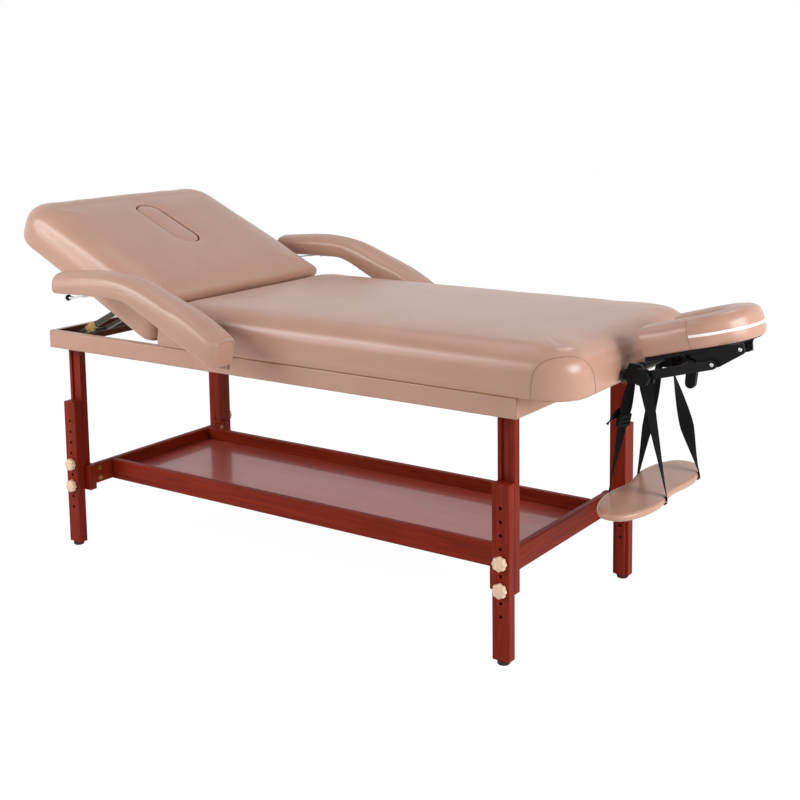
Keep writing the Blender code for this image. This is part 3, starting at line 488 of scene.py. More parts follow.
softbox("low_left", (-1.9, -2.5, 1.2), (-0.2, 0, 0.5), 1.8, 1.0, 24)
softbox("right", (3.4, -0.2, 1.5), (0.2, 0, 0.5), 1.6, 1.4, 86)
softbox("rear_top", (0.43, 1.83, 3.1), (0.85, 0, 0.8), 0.5, 0.5, 6)
print("lamps", len(bpy.data.lights))

# %% [markdown]
# The camera repeats the photograph's view: a lens of about 59 mm on a 36 mm frame, low above the
# bed, with a small shift because the picture was cropped off centre. The numbers in pixels are the
# focal length and the view's centre in the photograph, which is 800 pixels wide.

# %% Camera
PHOTO_PX, FOCAL_PX, CENTRE_PX = 800, 1303.058, (374.119, 252.690)
FILM = 36
STANDS_AT = Vector((2.15725 + SHIFT, -2.78907, 1.32999))
yaw, pitch, roll = radians(35.87514), radians(7.45665), radians(-0.94155)
ahead = Vector((-sin(yaw) * cos(pitch), cos(yaw) * cos(pitch), -sin(pitch)))
right = Vector((cos(yaw), sin(yaw), 0))
up = right.cross(ahead)
level = cos(roll) * right + sin(roll) * up
upright = -sin(roll) * right + cos(roll) * up
lens = bpy.data.cameras.new("photo_camera")
lens.sensor_width = FILM
lens.lens = FOCAL_PX * FILM / PHOTO_PX
lens.shift_x = (PHOTO_PX / 2 - CENTRE_PX[0]) / PHOTO_PX
lens.shift_y = (CENTRE_PX[1] - PHOTO_PX / 2) / PHOTO_PX
camera = set_out("photo_camera", lens)
tripod = Matrix((level, upright, -ahead)).transposed().to_4x4()
tripod.translation = STANDS_AT
camera.matrix_world = tripod
bpy.context.scene.camera = camera
bpy.context.scene.view_settings.view_transform = "Standard"
print("lens", round(lens.lens, 1), "mm")

# %% [markdown]
# Sawn pieces keep their CAD shape, but real ones never have knife edges. A copy is merged, its flat
# faces are made whole again, and every sharp edge is rounded over by a bevel.

# %% Rounded-over copies of the sawn and moulded pieces


def eased(node_name, width, finish, slot, segments=2):
    """A copy of a CAD node with its sharp edges rounded over, dressed and in the node's place."""
    made = merged_copy(node_name + "_eased", node_name)
    round_over(made, width, segments, 38)
    return dress(made, finish, home[node_name], slot, node_name)


for end, _ in ENDS:
    for side, _ in SIDES:
        eased(f"upper_leg_{end}_{side}", 0.0014, WOOD_UP, "stained_wood")
    eased("end_rail_" + end, 0.0012, WOOD_ACROSS, "stained_wood")
for side, _ in SIDES:
    eased("tray_rail_" + side, 0.0012, WOOD_LONG, "stained_wood")
    eased("stay_rack_" + side, 0.0006, YELLOW, "yellow_steel")
    eased("armrest_mount_" + side, 0.0010, BROWN, "zinc_steel")
eased("tray_panel", 0.0010, TRAY, "stained_wood")
eased("cradle_mount", 0.0015, NYLON, "black_plastic")
eased("cradle_arms", 0.0015, ENAMEL, "black_plastic")
eased("cradle_platform", 0.0012, NYLON, "black_plastic")
eased("cam_lever", 0.0030, NYLON, "black_plastic", 3)
eased("stay_frame", 0.0012, BRONZE, "stained_wood")
eased("stay_bracket", 0.0006, YELLOW, "yellow_steel")

# %% [markdown]
# Each lower leg is a hardwood stick with nine holes in a row. It starts as a block, a tongue is
# pulled out of its inner face, its long edges are bevelled, and the holes are bored by a Boolean.

# %% Lower legs
LEG_HALF, LEG_INNER, LEG_OUTER = 0.0225, 0.303, 0.330
TONGUE_HALF, TONGUE_OUT = 0.012, 0.0045
HOLES, HOLE_PITCH, BORE = 9, 0.032, 0.0045
TOP_HOLE = 0.4288 - 0.0565


def lower_leg(name, y_sign):
    """One stick with its tongue and its holes."""
    low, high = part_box(name)
    middle = (low[0] + high[0]) / 2
    span = sorted((y_sign * LEG_INNER, y_sign * LEG_OUTER))
    made = block(name + "_stick", (middle - LEG_HALF, span[0], low[2]), (middle + LEG_HALF, span[1], high[2]))
    for edge in (-TONGUE_HALF, TONGUE_HALF):
        saw(made, (middle + edge, 0, 0), ALONG)
    pick(made, "FACE", lambda face: face.normal.y * y_sign < -0.9
         and abs(face.calc_center_median().x - middle) < TONGUE_HALF / 2)
    bpy.ops.mesh.extrude_region_move(TRANSFORM_OT_translate={"value": (0, -y_sign * TONGUE_OUT, 0)})
    put_down()
    round_over(made, 0.0018, 3, 50)
    drill = join(*[disc("bit", (middle, y_sign * 0.315, TOP_HOLE - hole * HOLE_PITCH), ACROSS, BORE, 0.06, 20)
                   for hole in range(HOLES)])
    modify(made, "BOOLEAN", object=drill, operation="DIFFERENCE", solver="EXACT")
    bpy.data.objects.remove(drill)
    return dress(made, WOOD_UP, home[name], "stained_wood", name, angle=30)


for end, _ in ENDS:
    for side, y_sign in SIDES:
        stick = lower_leg(f"lower_leg_{end}_{side}", y_sign)
        print(stick.name, len(stick.data.polygons), "faces")

# %% [markdown]
# Padded pieces start as a skin over rings of points: rings that climb the side, roll over the
# shoulder and close on the middle line. Clean rings let the leathercloth swell evenly, which a
# rough remesh would spoil. A short cloth simulation then blows the foam up against its cover.

# %% Skins, swelling and ripples


def skin(name, rings, across=None, along=None):
    """A closed-loop surface over rings of equal length; rings drawn to a line are merged shut."""
    shape = bmesh.new()
    rows = [[shape.verts.new(spot) for spot in ring] for ring in rings]
    count = len(rings[0])
    flat = shape.loops.layers.uv.new("UVMap") if across else None
    for r in range(len(rows) - 1):
        for k in range(count):
            n = (k + 1) % count
            face = shape.faces.new((rows[r][k], rows[r][n], rows[r + 1][n], rows[r + 1][k]))
            if across:
                spots = ((k, r), (k + 1, r), (k + 1, r + 1), (k, r + 1))
                for loop, (c, a) in zip(face.loops, spots):
                    loop[flat].uv = (across[c], along[a])
    made = welded(name, shape)
    bpy.ops.mesh.dissolve_degenerate(threshold=WELD / 2)
    bpy.ops.mesh.normals_make_consistent(inside=False)
    put_down()
    return made


def stapled(piece, test):
    """Name the corners that the staples and the board hold still."""
    group = piece.vertex_groups.new(name="stapled")
    held = [corner.index for corner in piece.data.vertices if test(corner.co)]
    group.add(held, 1.0, "REPLACE")


def blow_up(piece, pressure, frames, cap, stiffness=20.0, bending=2.0):
    """Swell a padded piece by a short cloth simulation and cap how far it may move."""
    rest = np.array([corner.co for corner in piece.data.vertices])
    step = piece.modifiers.new("Cloth", "CLOTH")
    cloth = step.settings
    cloth.use_pressure = True
    cloth.uniform_pressure_force = pressure
    cloth.tension_stiffness = cloth.compression_stiffness = stiffness
    cloth.bending_stiffness = bending
    cloth.effector_weights.gravity = 0
    cloth.quality = 4
    if "stapled" in piece.vertex_groups:
        cloth.vertex_group_mass = "stapled"
    scene = bpy.context.scene
    for number in range(1, frames + 1):
        scene.frame_set(number)
    shown = piece.evaluated_get(bpy.context.evaluated_depsgraph_get())
    moved = np.array([corner.co for corner in shown.data.vertices])
    piece.modifiers.remove(step)
    scene.frame_set(1)
    shift = moved - rest
    length = np.linalg.norm(shift, axis=1)
    shift *= (cap * np.tanh(length / cap) / np.maximum(length, 1e-9))[:, None]
    piece.data.vertices.foreach_set("co", (rest + shift).astype(np.float32).ravel())
    piece.data.update()
    print(piece.name, "pushed up to", round(float(length.max()) * 1000, 1), "mm")


def ripple(piece, depth, size, test=None):
    """Press in the slight unevenness of stretched cover over foam."""
    piece.data.update()
    for corner in piece.data.vertices:
        if test is None or test(corner.co):
            corner.co += corner.normal * depth * noise.noise(corner.co / size)


def finish_pad(piece, body, fill, *nodes):
    modify(piece, "SUBSURF", levels=1, render_levels=1)
    dress(piece, VINYL, body, "tan_vinyl", *nodes, angle=180)
    print(piece.name, len(piece.data.polygons), "faces")


# %% [markdown]
# The star knobs are moulded with eight soft lobes and a gently domed face. A bevel breaks on such
# close lobes, so the knob is a skin over lobed rings that close on its middle.

# %% Star knobs on the legs


def star_knob(name, centre, towards, diameter, height, lobes, depth):
    """A lobed hand knob that stands on its leg and faces outwards."""
    profile = [(0.0, 0.0), (0.0, 0.84), (0.04, 0.92), (0.13, 0.975), (0.30, 1.0), (0.62, 1.0), (0.80, 0.975),
               (0.91, 0.92), (0.97, 0.83), (1.0, 0.70), (1.02, 0.45), (1.03, 0.2), (1.03, 0.0)]
    rings = []
    for level, reach in profile:
        ring = []
        for k in range(lobes * 10):
            turn = 2 * pi * k / (lobes * 10)
            dip = depth * (0.5 - 0.5 * cos(lobes * turn)) ** 1.3 * min(reach / 0.9, 1) ** 3
            radius = diameter / 2 * reach * (1 - dip)
            ring.append((radius * cos(turn), radius * sin(turn), height * level))
        rings.append(ring)
    return stand(skin(name, rings), centre, towards)


KNOB_WIDE, KNOB_TALL, KNOB_AT = 0.0362, 0.0140, 0.3303
STUD_ROUND, STUD_LONG, STUD_AT = 0.003, 0.046, 0.3075
for end, _ in ENDS:
    for side, y_sign in SIDES:
        for place in ("top", "low"):
            name = f"star_knob_{end}_{side}_{place}"
            low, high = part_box(name)
            centre = (Vector(low) + Vector(high)) / 2
            centre.y = y_sign * KNOB_AT
            grip = star_knob(name + "_grip", centre, (0, y_sign, 0), KNOB_WIDE, KNOB_TALL, 8, 0.13)
            dress(grip, KNOB, home[name], "beige_plastic", name, angle=40)
            centre.y = y_sign * STUD_AT
            stud = disc(name + "_stud", centre, ACROSS, STUD_ROUND, STUD_LONG, 20)
            pick(stud, "FACE", lambda face: abs(face.normal.y) > 0.9)
            bpy.ops.mesh.bevel(offset=0.0006, segments=2, affect="EDGES")
            put_down()
            dress(stud, ZINC, home[name], "zinc_steel")
print("star knobs on", len(ENDS) * len(SIDES), "legs")

# %% [markdown]
# Both bed cushions share one kind of form: straight sides drawn in a little, wide round corners at
# the outer end and tight ones at the crease. The side tucks under at the deck, stands upright for
# a few centimetres, rolls over a wide soft shoulder and rises to a low crown. Each number of a form
# is the size of one of these, so the main cushion and the back differ only in their numbers.

# %% The main cushion


def bow(centre, radius, start, turn, steps):
    """Points on an arc, angles in degrees."""
    turns = [radians(start + turn * k / steps) for k in range(steps + 1)]
    return [(centre[0] + radius * cos(t), centre[1] + radius * sin(t)) for t in turns]


def high_end(form, height):
    """How far the end at high x stands out at one height."""
    return float(np.interp(height, *zip(*form["high_line"])))


def bed_ring(form, share, more, height, draw=0.0, long=46, short=24, corner=10):
    """One ring: share 0 to 1 goes in over the shoulder, more goes further in, height lifts it."""
    up = height / form["edge"]
    low = form["low"] + form["low_shoulder"] * share + more + form["low_lean"] * up
    high = form["high"] - form["high_shoulder"] * share - more + high_end(form, height)
    inset = form["side_shoulder"] * share + more
    half = max(form["half"] - inset, 0.0)
    least = min(0.004, half)
    near, far = max(form["low_round"] - inset, least), max(form["high_round"] - inset, least)
    arcs = [bow((high - far, half - far), far, 0, 90, corner),
            bow((low + near, half - near), near, 90, 90, corner),
            bow((low + near, near - half), near, 180, 90, corner),
            bow((high - far, far - half), far, 270, 90, corner)]
    points = []
    for k, inward in enumerate(((0, -1), (1, 0), (0, 1), (-1, 0))):
        points += arcs[k]
        a, b = Vector(arcs[k][-1]), Vector(arcs[(k + 1) % 4][0])
        steps = long if k % 2 == 0 else short
        for step in range(1, steps):
            pulled = a.lerp(b, step / steps) + Vector(inward) * draw * sin(pi * step / steps)
            points.append((pulled.x, pulled.y))
    return [(x, y, height) for x, y in points]


def crown_height(form, x, y):
    """The top's height at one place: it rises from the inner end of the shoulder."""
    inside = min(x - form["low"] - form["low_shoulder"] - form["low_lean"],
                 form["high"] + high_end(form, form["edge"]) - form["high_shoulder"] - x,
                 form["half"] - form["side_shoulder"] - abs(y))
    share = min(max(inside / form["crown_reach"], 0), 1)
    return form["edge"] + form["crown"] * (1 - (1 - share) ** 2)


DRAWN_IN, SHOULDER_STEPS = 0.0025, 14


def bed_side(form):
    """The rings from the tuck at the deck to the inner end of the shoulder."""
    rings = [bed_ring(form, 0, more, height, DRAWN_IN) for more, height in form["tuck"]]
    for k in range(SHOULDER_STEPS + 1):
        turn = pi / 2 * k / SHOULDER_STEPS
        height = form["edge"] - form["drop"] * (1 - sin(turn))
        rings.append(bed_ring(form, 1 - cos(turn), 0, height, DRAWN_IN * (1 - k / SHOULDER_STEPS)))
    return rings


MAIN = {"low": -0.3375 + SHIFT, "high": 0.910 + SHIFT, "half": 0.360, "low_round": 0.024, "high_round": 0.095,
        "low_shoulder": 0.082, "high_shoulder": 0.066, "side_shoulder": 0.066,
        "low_lean": 0.010, "high_line": [(0.0, 0.0)],
        "edge": 0.1165, "drop": 0.060, "crown": 0.0060, "crown_reach": 0.19,
        "tuck": [(0.018, 0.0030), (0.0085, 0.0012), (0.0056, 0.0026), (0.0036, 0.0070), (0.0020, 0.0150),
                 (0.0009, 0.0250), (0.0002, 0.0370), (0.0, 0.0480)]}
rings = [bed_ring(MAIN, 0, MAIN["half"], 0.004)] + bed_side(MAIN)
for more in (0.015, 0.035, 0.060, 0.090, 0.125, 0.165, 0.205, 0.250, MAIN["half"] - MAIN["side_shoulder"]):
    rings.append([(x, y, crown_height(MAIN, x, y)) for x, y, _ in bed_ring(MAIN, 1, more, MAIN["edge"])])
main = skin("main_cushion_skin", [[(x, y, z + HINGE.z) for x, y, z in ring] for ring in rings])
stapled(main, lambda spot: spot.z - HINGE.z < 0.020)
blow_up(main, 2.0, 12, 0.003)
ripple(main, 0.0012, 0.16, lambda spot: spot.z - HINGE.z > 0.030)
finish_pad(main, "frame", 0.8, "main_cushion")

# %% [markdown]
# The back cushion is fuller than the main one and has a breath hole, so its top is made of rings
# that pass from the outer outline to the hole's outline, roll over its rim and go down to the deck.
# Its end at the hinge is hollowed below the top, which leaves room for the highest setting.

# %% The back cushion
HOLE_AT, HOLE_HALF, HOLE_ROUND = -0.361, 0.0755, 0.046
BACK = {"low": -0.612, "high": 0.0, "half": 0.365, "low_round": 0.095, "high_round": 0.040,
        "low_shoulder": 0.090, "high_shoulder": 0.040, "side_shoulder": 0.048, "low_lean": 0.0,
        "high_line": [(0.0, 0.010), (0.03, 0.006), (0.05, -0.004), (0.07, -0.015), (0.09, -0.019),
                      (0.10, -0.011), (0.11, -0.001), (0.127, 0.0075)],
        "edge": 0.1270, "drop": 0.062, "crown": 0.0085, "crown_reach": 0.10,
        "tuck": [(0.030, 0.0085), (0.014, 0.0062), (0.0085, 0.0078), (0.0046, 0.0140), (0.0020, 0.0230),
                 (0.0006, 0.0340), (0.0, 0.0480)]}
HEEL_FROM, HEEL_LONG, HEEL_RISE = -0.56, 0.42, 0.010


def fuller_heel(x, y, z):
    """The foam of the back stands a little taller towards the hinge."""
    share = min(max((x - HEEL_FROM) / HEEL_LONG, 0), 1)
    return Vector((x, y, z + HEEL_RISE * share * share * (3 - 2 * share) * min(z / BACK["edge"], 1) ** 2))


def slot_edge(x, y, radius):
    """Where a ray from the hole's middle through a point crosses a slot outline of that radius."""
    away = Vector((x - HOLE_AT, y))
    low, high = 0.0, 1.0
    for _ in range(40):
        middle = (low + high) / 2
        spot = away * middle
        reach = Vector((max(abs(spot.x) - HOLE_HALF, 0), spot.y)).length
        low, high = (middle, high) if reach < radius else (low, middle)
    return HOLE_AT + away.x * low, away.y * low


outer = [(x, y) for x, y, _ in bed_ring(BACK, 1, 0.012, BACK["edge"])]
rim = [slot_edge(x, y, HOLE_ROUND + 0.0046) for x, y in outer]
rings = bed_side(BACK)
for share in (0.0, 0.12, 0.28, 0.46, 0.64, 0.80, 0.92, 1.0):
    ring = [(a + (c - a) * share, b + (d - b) * share) for (a, b), (c, d) in zip(outer, rim)]
    rings.append([(x, y, crown_height(BACK, x, y)) for x, y in ring])
for reach, drop in ((0.0030, 0.0003), (0.0015, 0.0012), (0.0005, 0.0028), (0.0, 0.0052), (0.0, 0.030),
                    (0.0, 0.085)):
    ring = [slot_edge(x, y, HOLE_ROUND + reach) for x, y in outer]
    rings.append([(x, y, crown_height(BACK, x, y) - drop) for x, y in ring])
rings.append([(*slot_edge(x, y, 0.001), 0.0365) for x, y in outer])
first = bed_ring(BACK, 0, BACK["half"] - 0.075, 0.0085)
rings.insert(0, first)
rings.insert(0, [((x - HOLE_AT) * 0.5 + HOLE_AT, 0, 0.0085) for x, y, _ in first])
back = skin("back_cushion_skin", [[TO_BACK @ fuller_heel(*spot) for spot in ring] for ring in rings])


def held_on_back(spot):
    """The tuck at the deck and the wall of the breath hole don't swell."""
    x, y, z = FROM_BACK @ spot
    reach = Vector((max(abs(x - HOLE_AT) - HOLE_HALF, 0), y)).length
    return z < 0.022 or reach < HOLE_ROUND + 0.012


stapled(back, held_on_back)
blow_up(back, 2.0, 12, 0.003)
ripple(back, 0.0012, 0.16, lambda spot: not held_on_back(spot))
finish_pad(back, "back", 0.8, "back_cushion")

# %% [markdown]
# The plywood board of the back lies in the cushion's tuck. Its underside is planed up towards the
# rim, so that the board disappears behind the rolled cover: no wood shows from the side.

# %% The board of the back
PLANED, PLANE_FROM, DECK_HALF, RIM_WIDE = 0.0125, 0.255, 0.3497, 0.090
board = merged_copy("back_board", "back_deck")
board.data.transform(FROM_BACK)
deck_head = min(corner.co.x for corner in board.data.vertices)
for y in (PLANE_FROM, -PLANE_FROM):
    saw(board, (0, y, 0), ACROSS)
saw(board, (deck_head + RIM_WIDE, 0, 0), ALONG)
for corner in board.data.vertices:
    x, y, z = corner.co
    if z < 0.001:
        near_side = (abs(y) - PLANE_FROM) / (DECK_HALF - PLANE_FROM)
        near_head = (deck_head + RIM_WIDE - x) / RIM_WIDE
        corner.co.z += PLANED * min(max(near_side, near_head, 0), 1)
board.data.transform(TO_BACK)
dress(board, PLY, "back", "plywood", "back_deck", angle=20)
print(board.name, len(board.data.polygons), "faces")

# %% [markdown]
# The plug that fills the breath hole is a small cushion of its own. Its rings follow the crown of
# the back, a touch prouder in the middle, and its rolled edge leaves the groove that the eye sees.

# %% The breath hole plug
PLUG_ROUND, PLUG_SUNK, PLUG_LOW = 0.0430, 0.0015, 0.0372


def slot_ring(radius, height, below=None, steps=16, side=10):
    """One ring of the plug: two half rounds and the sides between them."""
    points = bow((HOLE_AT + HOLE_HALF, 0), radius, -90, 180, steps)
    points += [(HOLE_AT + HOLE_HALF - 2 * HOLE_HALF * k / side, radius) for k in range(1, side)]
    points += bow((HOLE_AT - HOLE_HALF, 0), radius, 90, 180, steps)
    points += [(HOLE_AT - HOLE_HALF + 2 * HOLE_HALF * k / side, -radius) for k in range(1, side)]
    if below is None:
        return [TO_BACK @ fuller_heel(x, y, height) for x, y in points]
    return [TO_BACK @ fuller_heel(x, y, crown_height(BACK, x, y) - below - PLUG_SUNK) for x, y in points]


rings = [slot_ring(0.0, PLUG_LOW), slot_ring(PLUG_ROUND - 0.003, PLUG_LOW), slot_ring(PLUG_ROUND, 0.040),
         slot_ring(PLUG_ROUND, 0.080), slot_ring(PLUG_ROUND, 0, 0.0080)]
for k in range(1, 8):
    turn = pi / 2 * k / 7
    rings.append(slot_ring(PLUG_ROUND - 0.0075 * (1 - cos(turn)), 0, 0.0080 - 0.0074 * sin(turn)))
for radius, below in ((0.026, 0.0003), (0.018, -0.0004), (0.008, -0.0008), (0.0, -0.0009)):
    rings.append(slot_ring(radius, 0, below))
plug = skin("breath_hole_plug_skin", rings)
blow_up(plug, 2.0, 10, 0.0008)
finish_pad(plug, "plug", 0.8, "breath_hole_plug")

# %% [markdown]
# An armrest is a bent arm with a soft rounded section. Its underside bends soon, while its top runs
# down in one long curve, so each ring spans from a point of the lower line to a point of the upper
# one. Both lines were measured along the arm, in metres from the bend, and are drawn smooth. The
# lower end is rounded in plan and closed by a sewn-in end panel.

# %% Armrests
ARM_HALF = 0.0445
ARM_DROP, ARM_SLOPE = 0.390, radians(24.7)
DOWN = Vector((cos(ARM_SLOPE), 0, -sin(ARM_SLOPE)))
ON_ARM = DOWN * (ARM_DROP - 0.142) + Vector((sin(ARM_SLOPE), 0, cos(ARM_SLOPE))) * 0.012
ARM_LOW = [(-0.226, 0.004), (-0.15, 0.003), (-0.08, 0.001), (-0.03, -0.001), (0.02, -0.004), (0.06, -0.017),
           (0.10, -0.038), (0.15, -0.066), (0.20, -0.093), (0.25, -0.119), (0.30, -0.144), (0.340, -0.161)]
ARM_HIGH = [(-0.226, 0.058), (-0.15, 0.061), (-0.078, 0.062), (-0.02, 0.060), (0.045, 0.050), (0.095, 0.035),
            (0.145, 0.013), (0.195, -0.010), (0.24, -0.031), (0.285, -0.055), (0.322, -0.078),
            (0.354, -0.101)]


def arm_place(y_sign):
    """Where an armrest's own axes lie: on its stub beside the bed, tipped a little."""
    stub = Matrix.Translation((-0.098 + SHIFT, y_sign * 0.465, 0.707))
    return stub @ Matrix.Rotation(radians(-2.5), 4, "Y") @ Matrix.Translation(-ON_ARM)


def smooth_line(points, steps):
    """A smooth line through points, with a few steps between each two."""
    points = [Vector(spot) for spot in points]
    line = []
    for k in range(len(points) - 1):
        before, a = points[max(k - 1, 0)], points[k]
        b, after = points[k + 1], points[min(k + 2, len(points) - 1)]
        for step in range(steps):
            t = step / steps
            line.append(0.5 * (2 * a + (b - before) * t + (2 * before - 5 * a + 4 * b - after) * t * t
                               + (3 * a - before - 3 * b + after) * t ** 3))
    return line + [points[-1]]


def pad_section(wide=0.74, tall=0.58, hem=0.16, crown=0.05):
    """A closed section of half width 1 and height 1: flat below, upright sides, round shoulders."""
    right = [(k / 5 * (1 - hem), 0.0) for k in range(5)]
    right += [(1 - hem + hem * sin(radians(t)), hem * (1 - cos(radians(t)))) for t in (0, 30, 60, 90)]
    right += [(1 + 0.02 * sin(pi * k / 4), hem + (1 - tall - hem) * k / 4) for k in range(1, 4)]
    for k in range(11):
        turn = radians(86 * k / 10)
        right.append((1 - wide + wide * cos(turn), 1 - tall + tall * sin(turn)))
    right += [((1 - wide) * (1 - k / 3), 1 + crown * k / 3) for k in range(1, 3)]
    return right + [(0.0, 1 + crown)] + [(-a, b) for a, b in reversed(right[1:])]


def seam(name, points, radius, body):
    """A sewn line: a thin cord of cover half sunk in the skin, in a darker tone as painted shade of the
    stitch groove.
    """
    line = bpy.data.curves.new(name, "CURVE")
    line.dimensions = "3D"
    line.bevel_depth = radius
    line.bevel_resolution = 1
    thread = line.splines.new("POLY")
    thread.points.add(len(points) - 1)
    for knot, spot in zip(thread.points, points):
        knot.co = (*spot, 1)
    take(set_out(name, line))
    bpy.ops.object.convert(target="MESH")
    dress(bpy.context.object, SHADED_SEAM, body, "tan_vinyl", angle=180)


def armrest_rings():
    """Rings from the closed head, along the arm, to the closed lower end, in the arm's own axes."""
    lows, highs = smooth_line(ARM_LOW, 4), smooth_line(ARM_HIGH, 4)
    last = len(lows) - 1
    stations = [(0, 0.0, size) for size in (0.0, 0.35, 0.68, 0.86)]
    stations += [(0, 0.0008, 0.935), (0, 0.0030, 0.975), (0, 0.009, 1.0)]
    stations += [(k, 0.0, 1.0) for k in range(1, last - 1)]
    rings = []
    for k, ahead, size in stations:
        low, high = lows[k], highs[k]
        middle = low.lerp(high, 0.5)
        square = min(max((k / last - 0.40) / 0.35, 0), 1)
        section = pad_section(0.74 - 0.40 * square, 0.58 - 0.32 * square)
        ring = []
        for a, b in section:
            spot = middle + (low.lerp(high, b) - middle) * size
            ring.append(Vector((spot.x + ahead, a * ARM_HALF * size, spot.y)))
        rings.append(ring)
    turn_round = 0.018
    section = pad_section(0.26, 0.18)
    for turn in (0, 20, 40, 58, 74, 90):
        behind = turn_round * (1 - sin(radians(turn)))
        wide = 1 - turn_round / ARM_HALF * (1 - cos(radians(turn)))
        low, high = lows[-1], highs[-1]
        way = (lows[-1] - lows[-3]).normalized() * behind
        rings.append([Vector((p.x, a * ARM_HALF * wide, p.y)) for a, b in section
                      for p in (low.lerp(high, b) - way,)])
    edge = rings[-1]
    heart = sum(edge, Vector()) / len(edge)
    rings += [[heart + (spot - heart) * size for spot in edge] for size in (0.965, 0.66, 0.33, 0.0)]
    return rings, len(rings) - 5


for side, y_sign in SIDES:
    place = arm_place(y_sign)
    rings, rim_at = armrest_rings()
    rings = [[place @ spot for spot in ring] for ring in rings]
    arm = skin("armrest_pad_skin_" + side, rings)
    blow_up(arm, 2.5, 12, 0.0012)
    ripple(arm, 0.0007, 0.07)
    finish_pad(arm, "armrest_" + side, 0.7, "armrest_pad_" + side, "armrest_core_" + side)
    rim = rings[rim_at]
    count = len(rim)
    top = [spot for k, spot in enumerate(rim) if 0.25 * count < k < 0.75 * count]
    seam("armrest_end_seam_" + side, top, 0.0008, "armrest_" + side)

# %% [markdown]
# The foot corners of the main cushion are separate sewn-in caps. Their seam is an arch: up the side,
# over the shoulder and down the end. Its knots lie close to the cushion and are moved onto the
# finished skin, so that the sewn line follows every swelling.

# %% Corner cap seams
CAP_SIDE = Vector((MAIN["high"] - 0.0998, 0.001 - MAIN["half"]))
CAP_END = Vector((MAIN["high"], 0.122 - MAIN["half"]))
CAP_LOW, CAP_TALL, CAP_BULGE = 0.640, 0.097, 0.019


def cap_arch(steps=120):
    """The cap's seam: steep up the side, over the shoulder, then more gently down the end."""
    outward = Vector((CAP_END.y - CAP_SIDE.y, CAP_SIDE.x - CAP_END.x)).normalized()
    knots = []
    for k in range(steps + 1):
        share = (1 - cos(pi * k / steps)) / 2
        off = abs(2 * share - 1)
        power, root = (3.5, 3.0) if share < 0.5 else (2.2, 2.0)
        plan = CAP_SIDE.lerp(CAP_END, share) + outward * CAP_BULGE * (1 - off ** 3)
        knots.append(Vector((plan.x, plan.y, CAP_LOW + CAP_TALL * (1 - off ** power) ** (1 / root))))
    return knots


cover = BVHTree.FromObject(main, bpy.context.evaluated_depsgraph_get())
for side, y_sign in SIDES:
    line = [cover.find_nearest(Vector((spot.x, -y_sign * spot.y, spot.z)))[0] for spot in cap_arch()]
    seam("corner_cap_seam_" + side, line, 0.0009, "frame")
print("cap seams", len(SIDES))

# %% [markdown]
# The face pad is a horseshoe. Its section is pushed round a line of two legs and a half round, and
# its ends are rounded off.

# %% Face pad
PAD_LOW, PAD_HALF, PAD_TALL = 0.0403, 0.0425, 0.0655
LEG_START, BOW_AT, BOW_HALF, START_HALF, BOW_DROP = 0.012, 0.129, 0.083, 0.077, 0.009


def horseshoe(leg_steps=14, bow_steps=26):
    """The pad's middle line and the outward direction at each place."""
    line, outward = [], []
    lean = Vector((BOW_AT - LEG_START, -(BOW_HALF - START_HALF), 0)).normalized()
    for k in range(leg_steps):
        share = k / leg_steps
        line.append(Vector((LEG_START + (BOW_AT - LEG_START) * share,
                            -START_HALF - (BOW_HALF - START_HALF) * share, 0)))
        outward.append(Vector((lean.y, -lean.x, 0)).lerp(Vector((0, -1, 0)), share).normalized())
    for k in range(bow_steps + 1):
        turn = radians(-90 + 180 * k / bow_steps)
        outward.append(Vector((cos(turn), sin(turn), 0)))
        line.append(Vector((BOW_AT, 0, 0)) + outward[-1] * BOW_HALF)
    for k in reversed(range(leg_steps)):
        line.append(Vector((line[k].x, -line[k].y, 0)))
        outward.append(Vector((outward[k].x, -outward[k].y, 0)))
    return line, outward


BLUNT = [(0.0, 0.0), (0.0, 0.45), (0.0, 0.74), (0.0, 0.88), (0.0012, 0.945), (0.0040, 0.982), (0.0090, 0.998)]
line, outward = horseshoe()
stations = [(line[0] + Vector((ahead, 0, 0)), outward[0], size) for ahead, size in BLUNT]
stations += [(spot, way, 1.0) for spot, way in zip(line[2:-4], outward[2:-4])]
stations += [(line[-3] + Vector((ahead, 0, 0)), outward[-3], size) for ahead, size in reversed(BLUNT)]
rings = []
for spot, way, size in stations:
    hang = BOW_DROP * min(max((spot.x - BOW_AT) / BOW_HALF, 0), 1)
    ring = []
    for a, b in pad_section(0.62, 0.42, 0.20, 0.05):
        height = PAD_TALL * (0.45 + (b - 0.45) * (1 - 0.6 * (1 - size)))
        skirt = hang * max(a, 0) * max(1 - b / 0.5, 0)
        ring.append(spot + way * a * PAD_HALF * size + Vector((0, 0, PAD_LOW + height - skirt)))
    rings.append([TO_ARMS @ spot for spot in ring])
face = skin("face_pad_skin", rings)
stapled(face, lambda spot: (FROM_ARMS @ spot).z < PAD_LOW + 0.004)
blow_up(face, 3.0, 12, 0.002)
ripple(face, 0.0010, 0.05, lambda spot: (FROM_ARMS @ spot).z > PAD_LOW + 0.006)
finish_pad(face, "face_platform", 0.7, "face_pad")

# %% [markdown]
# A white zip runs round the outside of the bow between two upright seams. Its points start outside
# the pad and are cast onto the finished skin, so that the tape lies on the cover everywhere.

# %% Zip and seams of the face pad
ZIP_HEIGHT, ZIP_HALF = PAD_LOW + 0.0305, 0.0030


def on_skin(piece, points, towards):
    """Points cast onto a piece's surface along a direction of their own."""
    take(piece)
    tree = BVHTree.FromObject(piece, bpy.context.evaluated_depsgraph_get())
    hits = [tree.ray_cast(spot, way)[0] for spot, way in zip(points, towards)]
    return [hit for hit in hits if hit is not None]


